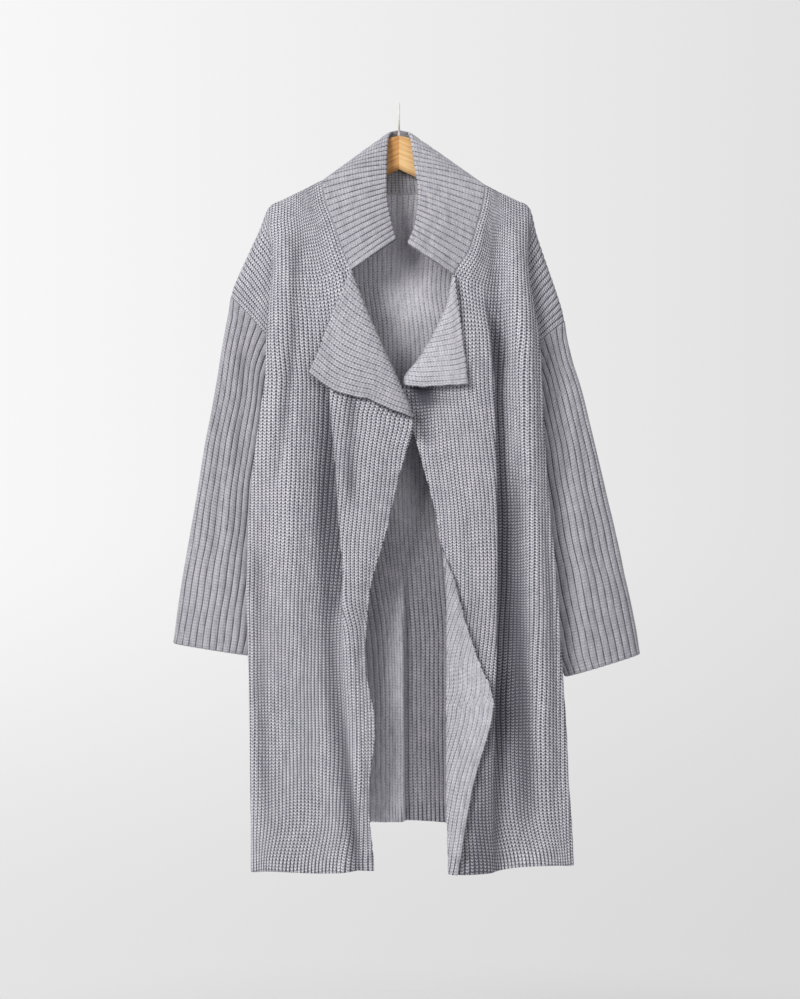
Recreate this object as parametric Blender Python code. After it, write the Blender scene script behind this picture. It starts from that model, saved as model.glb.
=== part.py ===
"""Long ribbed open-front cardigan on a wooden hanger, as closed solids.

Metres and +Z up in the scene; the sizes below are in millimetres. The origin is the inside of the
hook's crown, where a rail or peg carries the hanger. The front of the garment faces -Y and +X is to
the right seen from the front. Left and right in the names are the wearer's.

Every cloth piece is a wall. Its middle surface is worked out row by row: a row of the knitting is a
smooth curve through named stations (free edge, pleat, valley, crest, side fold and so on), and the
tables hold one row of the knitting a line. Seen from above, a front panel runs from its free edge
over the chest to the side fold, back in behind it, and ends on the armhole or the side seam.
"""

import bpy
import numpy as np

MM = 0.001

# Cloth
WALL = 2.6  # thickness of the knitting between its ribs
SEAM_GAP = 0.3  # left between two pieces at a seam
RIB_RISE = 1.0  # how far a rib stands out of the wall
RIB_FULL_AT = 4.0  # columns closer than this carry a lower rib
RIDGE_RISE = 4.0  # how far a front swells between its edge and its pleat
SEAM_TURN = 7.0  # how far a front turns out of its side seam, over the first 12% of the way
BACK_TURN = 1.5  # the same for the back, as a multiple of the front's
BACK_INSET = 4.0  # how far the back's side fold lies inside the front's

# A front's turned-out edges
ROLL_DEPTH = 6.0  # half the space between the layers at a turned edge
LAPEL_STAND = 13.0  # how far the lapel's corner stands forward of its roll
LAPEL_LENGTH = 160.0  # top edge of a front, from the notch to the corner
LAPEL_CORNER_RIGHT = (127.0, -393.0)  # distance from the garment's middle, and height
LAPEL_CORNER_LEFT = (98.5, -411.0)
FLAP_STAND = 0.06  # how far the lower flap stands forward, as a share of its width

# Sleeves
SLEEVE_RIBS = 22
SLEEVE_GAP = 1.5  # between a sleeve and its armhole at the shoulder
UNDERARM_GAP = 3.0  # more of it at the underarm, where the walls fold together

# Collar
COLLAR_GAP = 1.5  # between the collar and the neckline
COLLAR_CORNER_GAP = 3.0  # more of it where the collar bends over the hanger's arms
COLLAR_BULGE = 5.0  # how far the band swells between its edges
COLLAR_RIDGE_CELLS = 5  # cells over which the swelling dies out towards the bend
BACK_LEAN = 0.8  # swelling of the band behind the neck, as a share of the front's

# Back neckline, from right to left: place across, rise over the middle, and way forward
NAPE_X = (-103.0, -55.0, 6.0, 66.0, 117.0)
NAPE_RISE = (16.5, 3.0, 0.0, 3.0, 9.5)
NAPE_FORWARD = (-5.5, 0.0, 0.0, 0.0, -5.5)

# Hanger
ARM_REACH = 184.0  # from the middle to the tip of an arm
WOOD_HALF = 5.5  # half the thickness of the wood
WOOD_CHAMFER = 3.2
TIP_ROUND = 6.0  # length of the narrowed tip
TIP_NARROWING = 5.0  # taken off its top and its bottom
HOOK_WIRE = 2.6  # diameter of the hook's wire
HOOK_INNER = 17.0  # inside radius of the hook
HOOK_FROM = -62.0  # degrees round the hook's circle, where the stem joins it
HOOK_TO = 195.0  # and where the wire ends

# Row numbers in the tables below
YOKE_ROW = 4
NOTCH_ROW = 6
UNDERARM_ROW = 8
LAPEL_END_ROW = 10
LOWER_FLAP_ROW = 13
LAST_ROW = 17

# Rows built, and cells between stations as (first station, last station, cells)
FRONT_ROWS = [0, 1, 2, 3, 4, 5, 6, 7, 8, 9, 9.7, 10, 11, 12, 13, 14, 15, 16, 17]
BACK_ROWS = [0, 1, 2, 3, 4, 5, 6, 8, 10, 11.5, 13, 14.5, 16, 17]
FLAP_CELLS = 5
FRONT_SPANS = [(0, 3, FLAP_CELLS), (3, 6, 10), (6, 8, 4), (8, 9, 4), (9, 11, 8), (11, 13, 8)]
BACK_SPANS = [
    (0, 2, 6), (2, 4, 6), (4, 6, 4), (6, 9, 8), (9, 12, 8), (12, 14, 4), (14, 16, 6), (16, 18, 6),
]
NAPE_STATIONS = slice(7, 12)
COLLAR_FRONT = 20
COLLAR_BACK = 26
EDGE_SPANS = [(0, 5, COLLAR_FRONT), (5, 9, COLLAR_BACK), (9, 14, COLLAR_FRONT)]

CLOTH_COLOUR = (0.40, 0.39, 0.43, 1.0)
WOOD_COLOUR = (0.62, 0.36, 0.16, 1.0)
METAL_COLOUR = (0.80, 0.80, 0.78, 1.0)

# Places along a front, measured outwards (away from the middle of the garment) and up.
#   edge    collar seam, roll line or free edge        turned  cloth turned out beyond the edge
#   pleat   front edge of the deep fold                overlap how far it lies over what is behind
#   valley  trough outside the pleat                   crest   rounded ridge beside the side fold
#   fold    outermost line of the body                 roll    half the depth of that fold
#   tuck    how far the cloth goes back in behind it   end     armhole, then side seam
FRONT_RIGHT = """
row        edge_x edge_z edge_y turned pleat_x overlap valley_x valley_y crest_x crest_y fold_x fold_z roll tuck end_x end_z end_y
seam        112  -111.5    0     0    128   -9   150     0   168     0   187  -149    0  -14   243  -279     0
over        112  -113     -6     0    128   -9   150    -6   168    -6   187  -150.5  0  -14   243  -280.5  -5
front       111  -121    -11     0    128   -9   150   -12   168   -12   187  -158    0  -12   240  -284    -9
blade       107  -142    -17     0    124   -9   148   -22   166   -25   187  -178    3    2   231  -293   -13
yoke         96  -172    -26     0    116   -9   144   -31   164   -38   182  -210    8   10   213  -312   -15
collarbone   84  -208    -34     0    108   -9   137   -36   160   -45   181  -243   10   14   193  -334   -16
notch        69  -246    -41   160     98   -9   128   -40   158   -49   184  -276   11   18   172  -357   -16
lapel_1      48  -298    -50   120     92   -6   120   -42   156   -52   187  -314   12   22   155  -376   -13
lapel_2      24  -353    -55    80     97    3   116   -43   154   -53   190  -353   12   26   143  -392    -4
lapel_3       0  -408    -59    40     99    8   114   -43   154   -53   191  -394   12   27   146  -430    -4
lapel_end   -20  -462    -60     0     97   10   112   -43   155   -54   197  -440   12   28   150  -466    -4
waist         0  -540    -60     0     92   12   108   -44   157   -55   208  -522   12   28   156  -520    -4
hip          19  -622    -60     0     85   12   102   -45   158   -56   215  -608   12   28   162  -606    -4
thigh        43  -712    -61     0     76    6    98   -47   160   -57   218  -700   12   26   168  -700    -4
cuff         49  -805    -61     0     78   -6   106   -50   162   -57   215  -800   11   22   176  -800    -4
low          35  -900    -62     0     74  -10   110   -52   164   -57   213  -900   10   14   188  -900    -4
lower        44 -1002    -62     0     78  -12   112   -53   165   -57   212 -1002    9    8   198 -1002    -4
hem          36 -1106    -62     0     74  -14   114   -54   167   -57   211 -1109    8    4   203 -1108    -4
"""
FRONT_LEFT = """
row        edge_x edge_z edge_y turned pleat_x overlap valley_x valley_y crest_x crest_y fold_x fold_z roll tuck end_x end_z end_y
seam        126  -118.5    0     0    138   -8   156     0   170     0   187  -149    0  -12   239  -314     0
over        126  -120     -6     0    138   -8   156    -6   170    -6   187  -150.5  0  -12   239  -315.5  -5
front       125  -128    -11     0    137   -8   155   -12   170   -12   187  -159    0  -10   237  -318    -9
blade       121  -150    -17     0    134   -8   153   -22   168   -25   186  -182    4    2   228  -325   -13
yoke        112  -181    -26     0    128   -8   150   -30   166   -38   184  -214    8   10   211  -339   -15
collarbone  101  -216    -34     0    122   -8   148   -34   166   -45   186  -250   10   14   192  -357   -16
notch        79  -252    -38   160    120   -5   147   -36   169   -48   192  -288   11   18   172  -379   -16
lapel_1      70  -292    -42   120    124    0   146   -36   172   -50   197  -318   12   22   155  -399   -13
lapel_2      52  -333    -45    80    130    4   147   -36   175   -52   201  -346   12   26   143  -416    -4
lapel_3      28  -374    -47    40    134    6   149   -36   178   -53   203  -378   12   28   147  -440    -4
lapel_end     5  -414    -46     0    136    7   150   -36   181   -53   205  -418   12   28   152  -466    -4
waist        32  -515    -50     0    138    9   152   -36   186   -54   210  -515   12   28   160  -515    -4
hip          56  -610    -54     0    140   10   153   -36   192   -55   218  -610   12   28   167  -610    -4
thigh        69  -715    -58    16    139   10   154   -36   196   -56   228  -715   12   28   176  -715    -4
cuff         69  -800    -60    42    138    9   155   -37   200   -57   233  -810   12   26   184  -810    -4
low          69  -869    -60    65    138    8   156   -38   202   -57   237  -869   11   22   196  -869    -4
lower        69  -985    -60    36    138    5   158   -40   205   -57   243  -985    9   12   216  -985    -4
hem          72 -1111    -60    12    138    0   160   -44   208   -57   250 -1097    8    6   238 -1102    -4
"""
# The same rows across the back: height of its middle, how far back it hangs in the middle and at
# the sides, half the depth of its side folds, and where it ends on the armhole or side seam.
BACK = """
row        mid_z  mid_y side_y roll end_y
seam       -128    14     0     0     0
over       -129.5  15     6     0     5
front      -137    16    11     0     9
blade      -158    18    18     2    11
yoke       -190    20    23     4    12
collarbone -224    22    26     5    12
notch      -262    23    28     6    12
lapel_1    -302    24    29     6     9
lapel_2    -345    24    30     6    -4
lapel_3    -390    24    30     6    -4
lapel_end  -436    24    30     6    -4
waist      -514    24    30     6    -4
hip        -598    23    30     6    -4
thigh      -688    22    30     6    -4
cuff       -780    22    29     6    -4
low        -862    21    28     6    -4
lower      -952    21    27     5    -4
hem       -1043    20    26     5    -4
"""
# Soft standing folds down the back: where each crosses, and how far it comes forward at the hem.
BACK_FOLDS = """
fold        at   forward
right_outer -120   -7
right_inner  -62    6
middle         2  -10
left_inner    48   -8
left_outer   120    7
"""
# Rings down a sleeve: its outer and inner edge, the middle of its depth and half that depth.
SLEEVE_RIGHT = """
ring      outer_x outer_z inner_x inner_z mid_y half_y
cap         247   -303     163    -410    -3     9
upper       253   -335     174    -438    -3    12
elbow_1     264   -406     178    -492    -4    14
elbow_2     280   -492     186    -550    -4    14
forearm_1   294   -580     192    -620    -4    14
forearm_2   312   -680     201    -706    -4    15
wrist       323   -756     208    -775    -4    16
cuff        326   -783     213    -801    -4    16
"""
SLEEVE_LEFT = """
ring      outer_x outer_z inner_x inner_z mid_y half_y
cap         243   -338     163    -432    -3     9
upper       248   -362     175    -458    -3    12
elbow_1     266   -424     182    -508    -4    14
elbow_2     290   -525     192    -577    -4    14
forearm_1   311   -612     203    -655    -4    14
forearm_2   329   -696     216    -732    -4    15
wrist       344   -770     232    -802    -4    17
cuff        348   -799     243    -831    -4    17
"""
# The collar's free edge, from its right end round the back of the hook to its left end.
COLLAR_EDGE = """
place        x     y     z
right_end    -5   -50  -202
right_low   -11   -46  -180
right_mid   -18   -37  -140
right_high  -19   -25   -95
right_top   -17   -13   -54
right_turn  -13     0   -41
right_back   -9     9   -38
back_mid      0    13   -36
left_back     9     9   -38
left_turn    14     0   -41
left_top     18   -13   -54
left_high    23   -25   -90
left_mid     29   -36  -135
left_low     23   -44  -182
left_end     13   -48  -208
"""
# Top and bottom of the wood at distances from its middle.
HANGER = """
place      x    top  bottom
middle     0   -45    -94
neck      17   -49   -102
rise      40   -64.5 -112
shoulder  68   -84.5 -124
arm      104  -112.5 -140
tip      184  -150.8 -170
"""


def table(text):
    """Columns of a table as arrays, by their headings; the first column names the row."""
    lines = [line.split() for line in text.strip().splitlines()]
    columns = np.array([[float(cell) for cell in line[1:]] for line in lines[1:]]).T
    return dict(zip(lines[0][1:], columns))


def smooth(values, at):
    """Values at fractional row numbers, on a cubic curve that never overshoots its rows."""
    values = np.asarray(values, float)
    step = np.diff(values, axis=0)
    slope = np.zeros_like(values)
    before, after = step[:-1], step[1:]
    same_way = before * after > 0
    slope[1:-1][same_way] = (2 * before * after)[same_way] / (before + after)[same_way]
    slope[0], slope[-1] = step[0], step[-1]
    low = np.clip(np.floor(at).astype(int), 0, len(values) - 2)
    t = (np.asarray(at) - low).reshape((-1,) + (1,) * (values.ndim - 1))
    return (
        values[low] * (2 * t**3 - 3 * t**2 + 1)
        + slope[low] * (t**3 - 2 * t**2 + t)
        + values[low + 1] * (3 * t**2 - 2 * t**3)
        + slope[low + 1] * (t**3 - t**2)
    )


def rows_at(columns, at):
    """The columns of a table at fractional row numbers."""
    return {name: smooth(column, at) for name, column in columns.items()}


def thread(stations, parts):
    """Points on a smooth curve through each row of stations.

    stations is (rows, stations, 3). parts lists (first station, last station, cells): between those
    stations the points are evenly spaced along the curve, whose knots lie by the root of distance.
    """
    chord = np.sqrt(np.linalg.norm(np.diff(stations, axis=1), axis=2)) + 1e-6
    slope = np.diff(stations, axis=1) / chord[..., None]
    ahead, behind = chord[:, 1:, None], chord[:, :-1, None]
    tangent = np.empty_like(stations)
    tangent[:, 1:-1] = (slope[:, :-1] * ahead + slope[:, 1:] * behind) / (ahead + behind)
    tangent[:, 0], tangent[:, -1] = slope[:, 0], slope[:, -1]
    fine = 16
    t = (np.arange(fine) / fine)[None, None, :, None]
    start, stop = stations[:, :-1, None], stations[:, 1:, None]
    leave = (tangent[:, :-1] * chord[..., None])[:, :, None]
    arrive = (tangent[:, 1:] * chord[..., None])[:, :, None]
    curve = (
        start * (2 * t**3 - 3 * t**2 + 1)
        + leave * (t**3 - 2 * t**2 + t)
        + stop * (3 * t**2 - 2 * t**3)
        + arrive * (t**3 - t**2)
    ).reshape(len(stations), -1, 3)
    curve = np.concatenate([curve, stations[:, -1:]], axis=1)
    threads = []
    for line in curve:
        along = np.concatenate([[0], np.cumsum(np.linalg.norm(np.diff(line, axis=0), axis=1))])
        wanted = []
        for first, last, cells in parts:
            span = np.linspace(along[first * fine], along[last * fine], cells + 1)
            wanted.append(span if last == stations.shape[1] - 1 else span[:-1])
        wanted = np.concatenate(wanted)
        threads.append(np.stack([np.interp(wanted, along, line[:, k]) for k in range(3)], axis=1))
    return np.array(threads)


def turn_at(at):
    """How far the cloth turns out of its end: little at the shoulder, all of it by the underarm."""
    share = np.clip((np.asarray(at) - YOKE_ROW) / (UNDERARM_ROW - YOKE_ROW), 0, 1)
    return 1.0 + (SEAM_TURN - 1.0) * share


def front_stations(columns, at, side):
    """Stations of a front panel's rows: the turned-out edge, then from the edge to the end."""
    row = rows_at(columns, at)
    notch = np.array([columns["edge_x"][NOTCH_ROW], columns["edge_z"][NOTCH_ROW]])
    corner = LAPEL_CORNER_RIGHT if side < 0 else LAPEL_CORNER_LEFT
    lean = (corner - notch) / np.linalg.norm(corner - notch)
    upper = (np.asarray(at) <= LAPEL_END_ROW)[:, None]
    way = np.where(upper, lean, np.array([1.0, 0.0]))
    turned = row["turned"]
    half = np.minimum(ROLL_DEPTH, 0.35 * turned)
    stand = np.where(upper[:, 0], LAPEL_STAND / LAPEL_LENGTH, FLAP_STAND) * turned
    flat = turned < 1.0
    reach = np.where(flat, -9.0, turned)
    near = np.where(flat, -3.0, np.minimum(1.3 * half, turned / 3))
    middle = (near + reach) / 2
    edge = row["edge_x"], row["edge_y"], row["edge_z"]

    def out_of_edge(distance, y):
        return edge[0] + way[:, 0] * distance, y, edge[2] + way[:, 1] * distance

    face_y = edge[1] - 2 * half
    ridge_x = (row["edge_x"] + row["pleat_x"]) / 2
    under_x = row["pleat_x"] - row["overlap"]
    pleat_y = row["edge_y"] - np.clip(row["overlap"], 0, 4)
    ridge_rise = RIDGE_RISE * np.clip((np.asarray(at) - 2) / 4, 0, 1)
    tuck_y = row["crest_y"] + 2 * row["roll"]
    seam_turn = turn_at(at)
    slant = (row["fold_z"] - row["edge_z"]) / (row["fold_x"] - row["edge_x"])

    def on_body(x, y):
        return x, y, row["edge_z"] + slant * (x - row["edge_x"])

    back_x = row["edge_x"] + np.maximum(1.3 * half, 3.0)
    tuck_x = row["fold_x"] - row["tuck"]
    drop = row["end_z"] - row["fold_z"]
    stations = [
        out_of_edge(reach, face_y - stand),
        out_of_edge(middle, face_y - 0.6 * stand - 0.25 * half),
        out_of_edge(near, face_y + 0.1 * half),
        out_of_edge(np.zeros_like(near), edge[1] - half),
        on_body(back_x, row["edge_y"]),
        on_body(ridge_x, (row["edge_y"] + pleat_y) / 2 - ridge_rise),
        on_body(row["pleat_x"], pleat_y),
        on_body(under_x, (0.4 * pleat_y + 0.6 * row["valley_y"])),
        on_body(row["valley_x"], row["valley_y"]),
        on_body(row["crest_x"], row["crest_y"]),
        on_body(row["fold_x"], row["crest_y"] + row["roll"]),
        (tuck_x, tuck_y, row["fold_z"] + 0.25 * drop),
        (
            row["end_x"] + 0.12 * (tuck_x - row["end_x"]),
            row["end_y"] - seam_turn,
            row["end_z"] - 0.12 * drop,
        ),
        (row["end_x"], row["end_y"] - SEAM_GAP / 2, row["end_z"]),
    ]
    return np.array([[side * x, y, z] for x, y, z in stations]).transpose(2, 0, 1)


def back_stations(at):
    """Stations of the back panel's rows, from the wearer's right end to the left end."""
    at = np.asarray(at, float)
    row = rows_at(table(BACK), at)
    folds = table(BACK_FOLDS)
    below_neck = np.clip((at - 2) / (YOKE_ROW - 2), 0, 1)
    sides = {}
    for side, columns in ((-1, table(FRONT_RIGHT)), (1, table(FRONT_LEFT))):
        front = rows_at(columns, at)
        fold_x = front["fold_x"] - BACK_INSET * np.clip(at / NOTCH_ROW, 0, 1)
        tuck_x = fold_x - front["tuck"]
        drop = front["end_z"] - front["fold_z"]
        tuck_y = row["side_y"] - 2 * row["roll"]
        neck_x = columns["edge_x"][0]
        shoulder_slope = (columns["edge_z"][0] - columns["fold_z"][0]) / (columns["fold_x"][0] - neck_x)

        def height(x):
            on_shoulder = front["fold_z"] + shoulder_slope * (fold_x - x)
            on_body = row["mid_z"] + (front["fold_z"] - row["mid_z"]) * (x / fold_x) ** 2
            return on_shoulder + (on_body - on_shoulder) * below_neck

        yoke_x = neck_x + 0.35 * (fold_x - neck_x)
        crest_x = neck_x + 0.78 * (fold_x - neck_x)
        neck_y = row["side_y"] + (row["mid_y"] - row["side_y"]) * 0.35 * below_neck
        sides[side] = [
            (front["end_x"], row["end_y"] + SEAM_GAP / 2, front["end_z"]),
            (
                front["end_x"] + 0.12 * (tuck_x - front["end_x"]),
                np.minimum(row["end_y"] + BACK_TURN * turn_at(at), tuck_y),
                front["end_z"] - 0.12 * drop,
            ),
            (tuck_x, tuck_y, front["fold_z"] + 0.25 * drop),
            (fold_x, row["side_y"] - row["roll"], front["fold_z"]),
            (crest_x, row["side_y"], height(crest_x)),
            (yoke_x, row["side_y"], height(yoke_x)),
            (neck_x, neck_y, height(neck_x)),
        ]
    grown = np.clip(at / LAST_ROW, 0, 1) ** 1.5
    middle = []
    for k, (place, forward) in enumerate(zip(folds["at"], folds["forward"])):
        x = NAPE_X[k] + (place - NAPE_X[k]) * np.clip(at / NOTCH_ROW, 0, 1)
        side_z = (sides[-1] if place < 0 else sides[1])[3]
        lower = (side_z[2] - row["mid_z"]) * (x / side_z[0]) ** 2 * below_neck
        at_neck = 1 - below_neck
        y = row["mid_y"] + forward * grown + NAPE_FORWARD[k] * at_neck
        middle.append((x, y, row["mid_z"] + lower + NAPE_RISE[k] * at_neck))
    right = [(-x, y, z) for x, y, z in sides[-1]]
    left = [(x, y, z) for x, y, z in sides[1]][::-1]
    stations = right + middle + left
    return np.array([[x + 0 * at, y + 0 * at, z + 0 * at] for x, y, z in stations]).transpose(2, 0, 1)


def wall(name, grid, present, rise, outward, square=None):
    """Make a closed wall round a grid of middle points.

    grid is (rows, columns, 3); present tells which cells are cloth, with one column of cells more
    than it has gaps where the last column joins the first. rise lifts the outer points, and outward
    is 1 or -1 and picks the outer side. Where square is true the wall's edge stays square to Y, so
    that it meets its neighbour face to face.
    """
    rows, columns = grid.shape[:2]
    across = (np.arange(columns) + 1) % columns
    cells = [(i, j) for i in range(rows - 1) for j in range(present.shape[1]) if present[i, j]]
    normals = np.zeros_like(grid)
    for i, j in cells:
        k = across[j]
        face = np.cross(grid[i + 1, k] - grid[i, j], grid[i, k] - grid[i + 1, j])
        face = outward * face / (np.linalg.norm(face) + 1e-9)
        for a, b in ((i, j), (i, k), (i + 1, j), (i + 1, k)):
            normals[a, b] += face
    if square is not None:
        normals[square, 1] = 0.0
    normals /= np.linalg.norm(normals, axis=2, keepdims=True) + 1e-9
    outer = grid + normals * (WALL / 2 + rise[..., None])
    inner = grid - normals * WALL / 2
    count = rows * columns

    def corner(i, j):
        return i * columns + j

    faces = []
    edges = {}
    for i, j in cells:
        k = across[j]
        ring = [corner(i, j), corner(i + 1, j), corner(i + 1, k), corner(i, k)]
        if outward < 0:
            ring = ring[::-1]
        faces.append(ring)
        faces.append([count + v for v in reversed(ring)])
        for a, b in zip(ring, ring[1:] + ring[:1]):
            edges[(a, b)] = (b, a)
    for (a, b), back in edges.items():
        if back not in edges:
            faces.append([b, a, count + a, count + b])
    points = np.concatenate([outer.reshape(-1, 3), inner.reshape(-1, 3)])
    add_solid(name, points, faces, CLOTH_COLOUR, roughness=0.95)


def add_solid(name, points, faces, colour, roughness, metallic=0.0):
    """Put a closed mesh, given in millimetres, into the scene with its own material."""
    used = sorted({v for face in faces for v in face})
    place = {v: k for k, v in enumerate(used)}
    mesh = bpy.data.meshes.new(name)
    mesh.from_pydata(
        [tuple(points[v] * MM) for v in used], [], [[place[v] for v in face] for face in faces]
    )
    mesh.update()
    mesh.shade_smooth()
    mesh.set_sharp_from_angle(angle=np.radians(50))
    material = bpy.data.materials.new(name)
    material.use_nodes = True
    shader = material.node_tree.nodes["Principled BSDF"]
    shader.inputs["Base Color"].default_value = colour
    shader.inputs["Roughness"].default_value = roughness
    shader.inputs["Metallic"].default_value = metallic
    mesh.materials.append(material)
    thing = bpy.data.objects.new(name, mesh)
    bpy.context.scene.collection.objects.link(thing)


def ribs_on(grid, first=0):
    """Rise of the outer points: every second column is the top of a rib, lower where it narrows."""
    spacing = np.linalg.norm(np.diff(grid, axis=1), axis=2)
    narrow = np.minimum(spacing[:, :-1], spacing[:, 1:])
    rise = np.zeros(grid.shape[:2])
    rise[:, 1:-1] = RIB_RISE * np.clip(narrow / RIB_FULL_AT, 0, 1)
    rise[:, : first + 1] = 0.0
    rise[:, first + 2 :: 2] = 0.0
    return rise


def build_front(name, columns, side, lower_flap):
    """One front panel with its turned-back top corner, in one wall."""
    at = np.array(FRONT_ROWS)
    cells = sum(span[2] for span in FRONT_SPANS[1:])
    grid = thread(front_stations(columns, at, side), FRONT_SPANS)
    present = np.ones((len(at) - 1, FLAP_CELLS + cells), bool)
    above, below = at[:-1], at[1:]
    lapel = (above >= NOTCH_ROW) & (below < LAPEL_END_ROW)
    flap = lapel | (above >= LOWER_FLAP_ROW) if lower_flap else lapel
    present[:, :FLAP_CELLS] = flap[:, None]
    grid[0, :, 1] = np.minimum(grid[0, :, 1], -SEAM_GAP / 2)
    square = np.zeros(grid.shape[:2], bool)
    square[0] = True
    square[at >= UNDERARM_ROW, -1] = True
    wall(name, grid, present, ribs_on(grid, FLAP_CELLS), -side, square)


def build_back():
    """The back panel, from side seam to side seam, its top edge along shoulders and neck."""
    at = np.array(BACK_ROWS, float)
    cells = sum(span[2] for span in BACK_SPANS)
    grid = thread(back_stations(at), BACK_SPANS)
    present = np.ones((len(at) - 1, cells), bool)
    grid[0, :, 1] = np.maximum(grid[0, :, 1], SEAM_GAP / 2)
    square = np.zeros(grid.shape[:2], bool)
    square[0] = grid[0, :, 1] < SEAM_GAP
    square[at >= UNDERARM_ROW, 0] = True
    square[at >= UNDERARM_ROW, -1] = True
    wall("back_panel", grid, present, ribs_on(grid), 1, square)


def armhole(columns, side, cells):
    """The closed line of the armhole: down the front panel's end and up the back panel's end."""
    at = np.linspace(0, UNDERARM_ROW, 33)
    front = front_stations(columns, at, side)[:, -1]
    back = back_stations(at)[:, 0 if side < 0 else -1]
    front_half = thread(front[None], [(0, 32, cells // 2)])[0]
    back_half = thread(back[::-1][None], [(0, 32, cells // 2)])[0]
    return np.concatenate([front_half[:-1], back_half[:-1]])


def build_sleeve(name, columns, rings, side):
    """A sleeve from the armhole to the open cuff, a flattened tube of wide ribs."""
    cells = 2 * SLEEVE_RIBS
    turn = 2 * np.pi * np.arange(cells) / cells
    ring = {key: value[:, None] for key, value in table(rings).items()}
    share = (1 + np.cos(turn)) / 2
    bulge = np.sign(np.sin(turn)) * np.abs(np.sin(turn)) ** 0.8
    x = side * (ring["inner_x"] + (ring["outer_x"] - ring["inner_x"]) * share)
    z = ring["inner_z"] + (ring["outer_z"] - ring["inner_z"]) * share
    y = ring["mid_y"] - ring["half_y"] * bulge
    grid = np.stack([x, y + 0 * x, z], axis=2)
    top = armhole(columns, side, cells)
    towards = grid[0] - top
    towards /= np.linalg.norm(towards, axis=1, keepdims=True)
    gap = SLEEVE_GAP + UNDERARM_GAP * ((1 - np.cos(turn)) / 2) ** 6
    grid = np.concatenate([(top + towards * gap[:, None])[None], grid])
    present = np.ones((len(grid) - 1, cells), bool)
    rise = np.zeros(grid.shape[:2])
    rise[:, 1::2] = RIB_RISE
    wall(name, grid, present, rise, -side)


def neckline():
    """The line that the collar is sewn to, from the right notch round the back to the left."""
    at = np.linspace(0, NOTCH_ROW, 25)
    right = front_stations(table(FRONT_RIGHT), at, -1)[::-1, 3]
    left = front_stations(table(FRONT_LEFT), at, 1)[:, 3]
    nape = back_stations(np.array([0.0]))[0, NAPE_STATIONS]
    line = np.concatenate([right, nape, left])
    first, last = len(right) - 1, len(right) + len(nape)
    spans = [(0, first, COLLAR_FRONT), (first, last, COLLAR_BACK), (last, len(line) - 1, COLLAR_FRONT)]
    return thread(line[None], spans)[0]


def build_collar():
    """The ribbed band that stands round the neck, leaning in to the hook."""
    seam = neckline()
    edge = table(COLLAR_EDGE)
    edge = np.stack([edge["x"], edge["y"], edge["z"]], axis=1)
    edge = thread(edge[None], EDGE_SPANS)[0]
    width = np.linalg.norm(edge - seam, axis=1)[:, None]
    column = np.arange(len(seam))
    from_ridge = np.minimum(column - COLLAR_FRONT, COLLAR_FRONT + COLLAR_BACK - column)
    from_ridge = from_ridge / COLLAR_RIDGE_CELLS
    lean = np.clip(from_ridge, -1.0, 1.0) * np.where(from_ridge > 0, BACK_LEAN, 1.0)
    at_shoulder = np.exp(-((from_ridge - 0.8) ** 2))
    start = (COLLAR_GAP + COLLAR_CORNER_GAP * at_shoulder)[:, None] / width
    rows = []
    for across in (0.0, 0.33, 0.67, 1.0):
        share = start + (1 - start) * across
        bulge = np.sin(np.pi * across) * COLLAR_BULGE * lean[:, None]
        rows.append(seam + (edge - seam) * share + bulge * np.array([0.0, 1.0, 0.0]))
    grid = np.array(rows)
    present = np.ones((len(grid) - 1, grid.shape[1] - 1), bool)
    wall("collar", grid, present, ribs_on(grid), -1)


def build_hanger():
    """The wooden hanger: eight-sided sections from tip to tip."""
    shape = table(HANGER)
    x = np.append(np.linspace(0, ARM_REACH - TIP_ROUND, 13), [ARM_REACH - 2, ARM_REACH])
    top = np.interp(x, shape["x"], shape["top"])
    bottom = np.interp(x, shape["x"], shape["bottom"])
    end = x[-1] - x
    narrow = TIP_NARROWING * np.clip(1 - end / TIP_ROUND, 0, 1)
    top, bottom = top - narrow, bottom + narrow
    x = np.concatenate([-x[:0:-1], x])
    top = np.concatenate([top[:0:-1], top])
    bottom = np.concatenate([bottom[:0:-1], bottom])
    a, b = WOOD_HALF, WOOD_CHAMFER
    rim = [(-a + b, 0, 0), (a - b, 0, 0), (a, 0, -b), (a, 1, b), (a - b, 1, 0), (-a + b, 1, 0)]
    rim += [(-a, 1, b), (-a, 0, -b)]
    points = []
    for place, high, low in zip(x, top, bottom):
        points += [(place, y, (low if at_foot else high) + step) for y, at_foot, step in rim]
    points = np.array(points, float)
    n = len(rim)
    faces = [list(range(n)), [(len(x) - 1) * n + k for k in reversed(range(n))]]
    for i in range(len(x) - 1):
        for k in range(n):
            m = (k + 1) % n
            faces.append([i * n + m, i * n + k, (i + 1) * n + k, (i + 1) * n + m])
    add_solid("hanger_wood", points, faces, WOOD_COLOUR, roughness=0.45)


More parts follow.
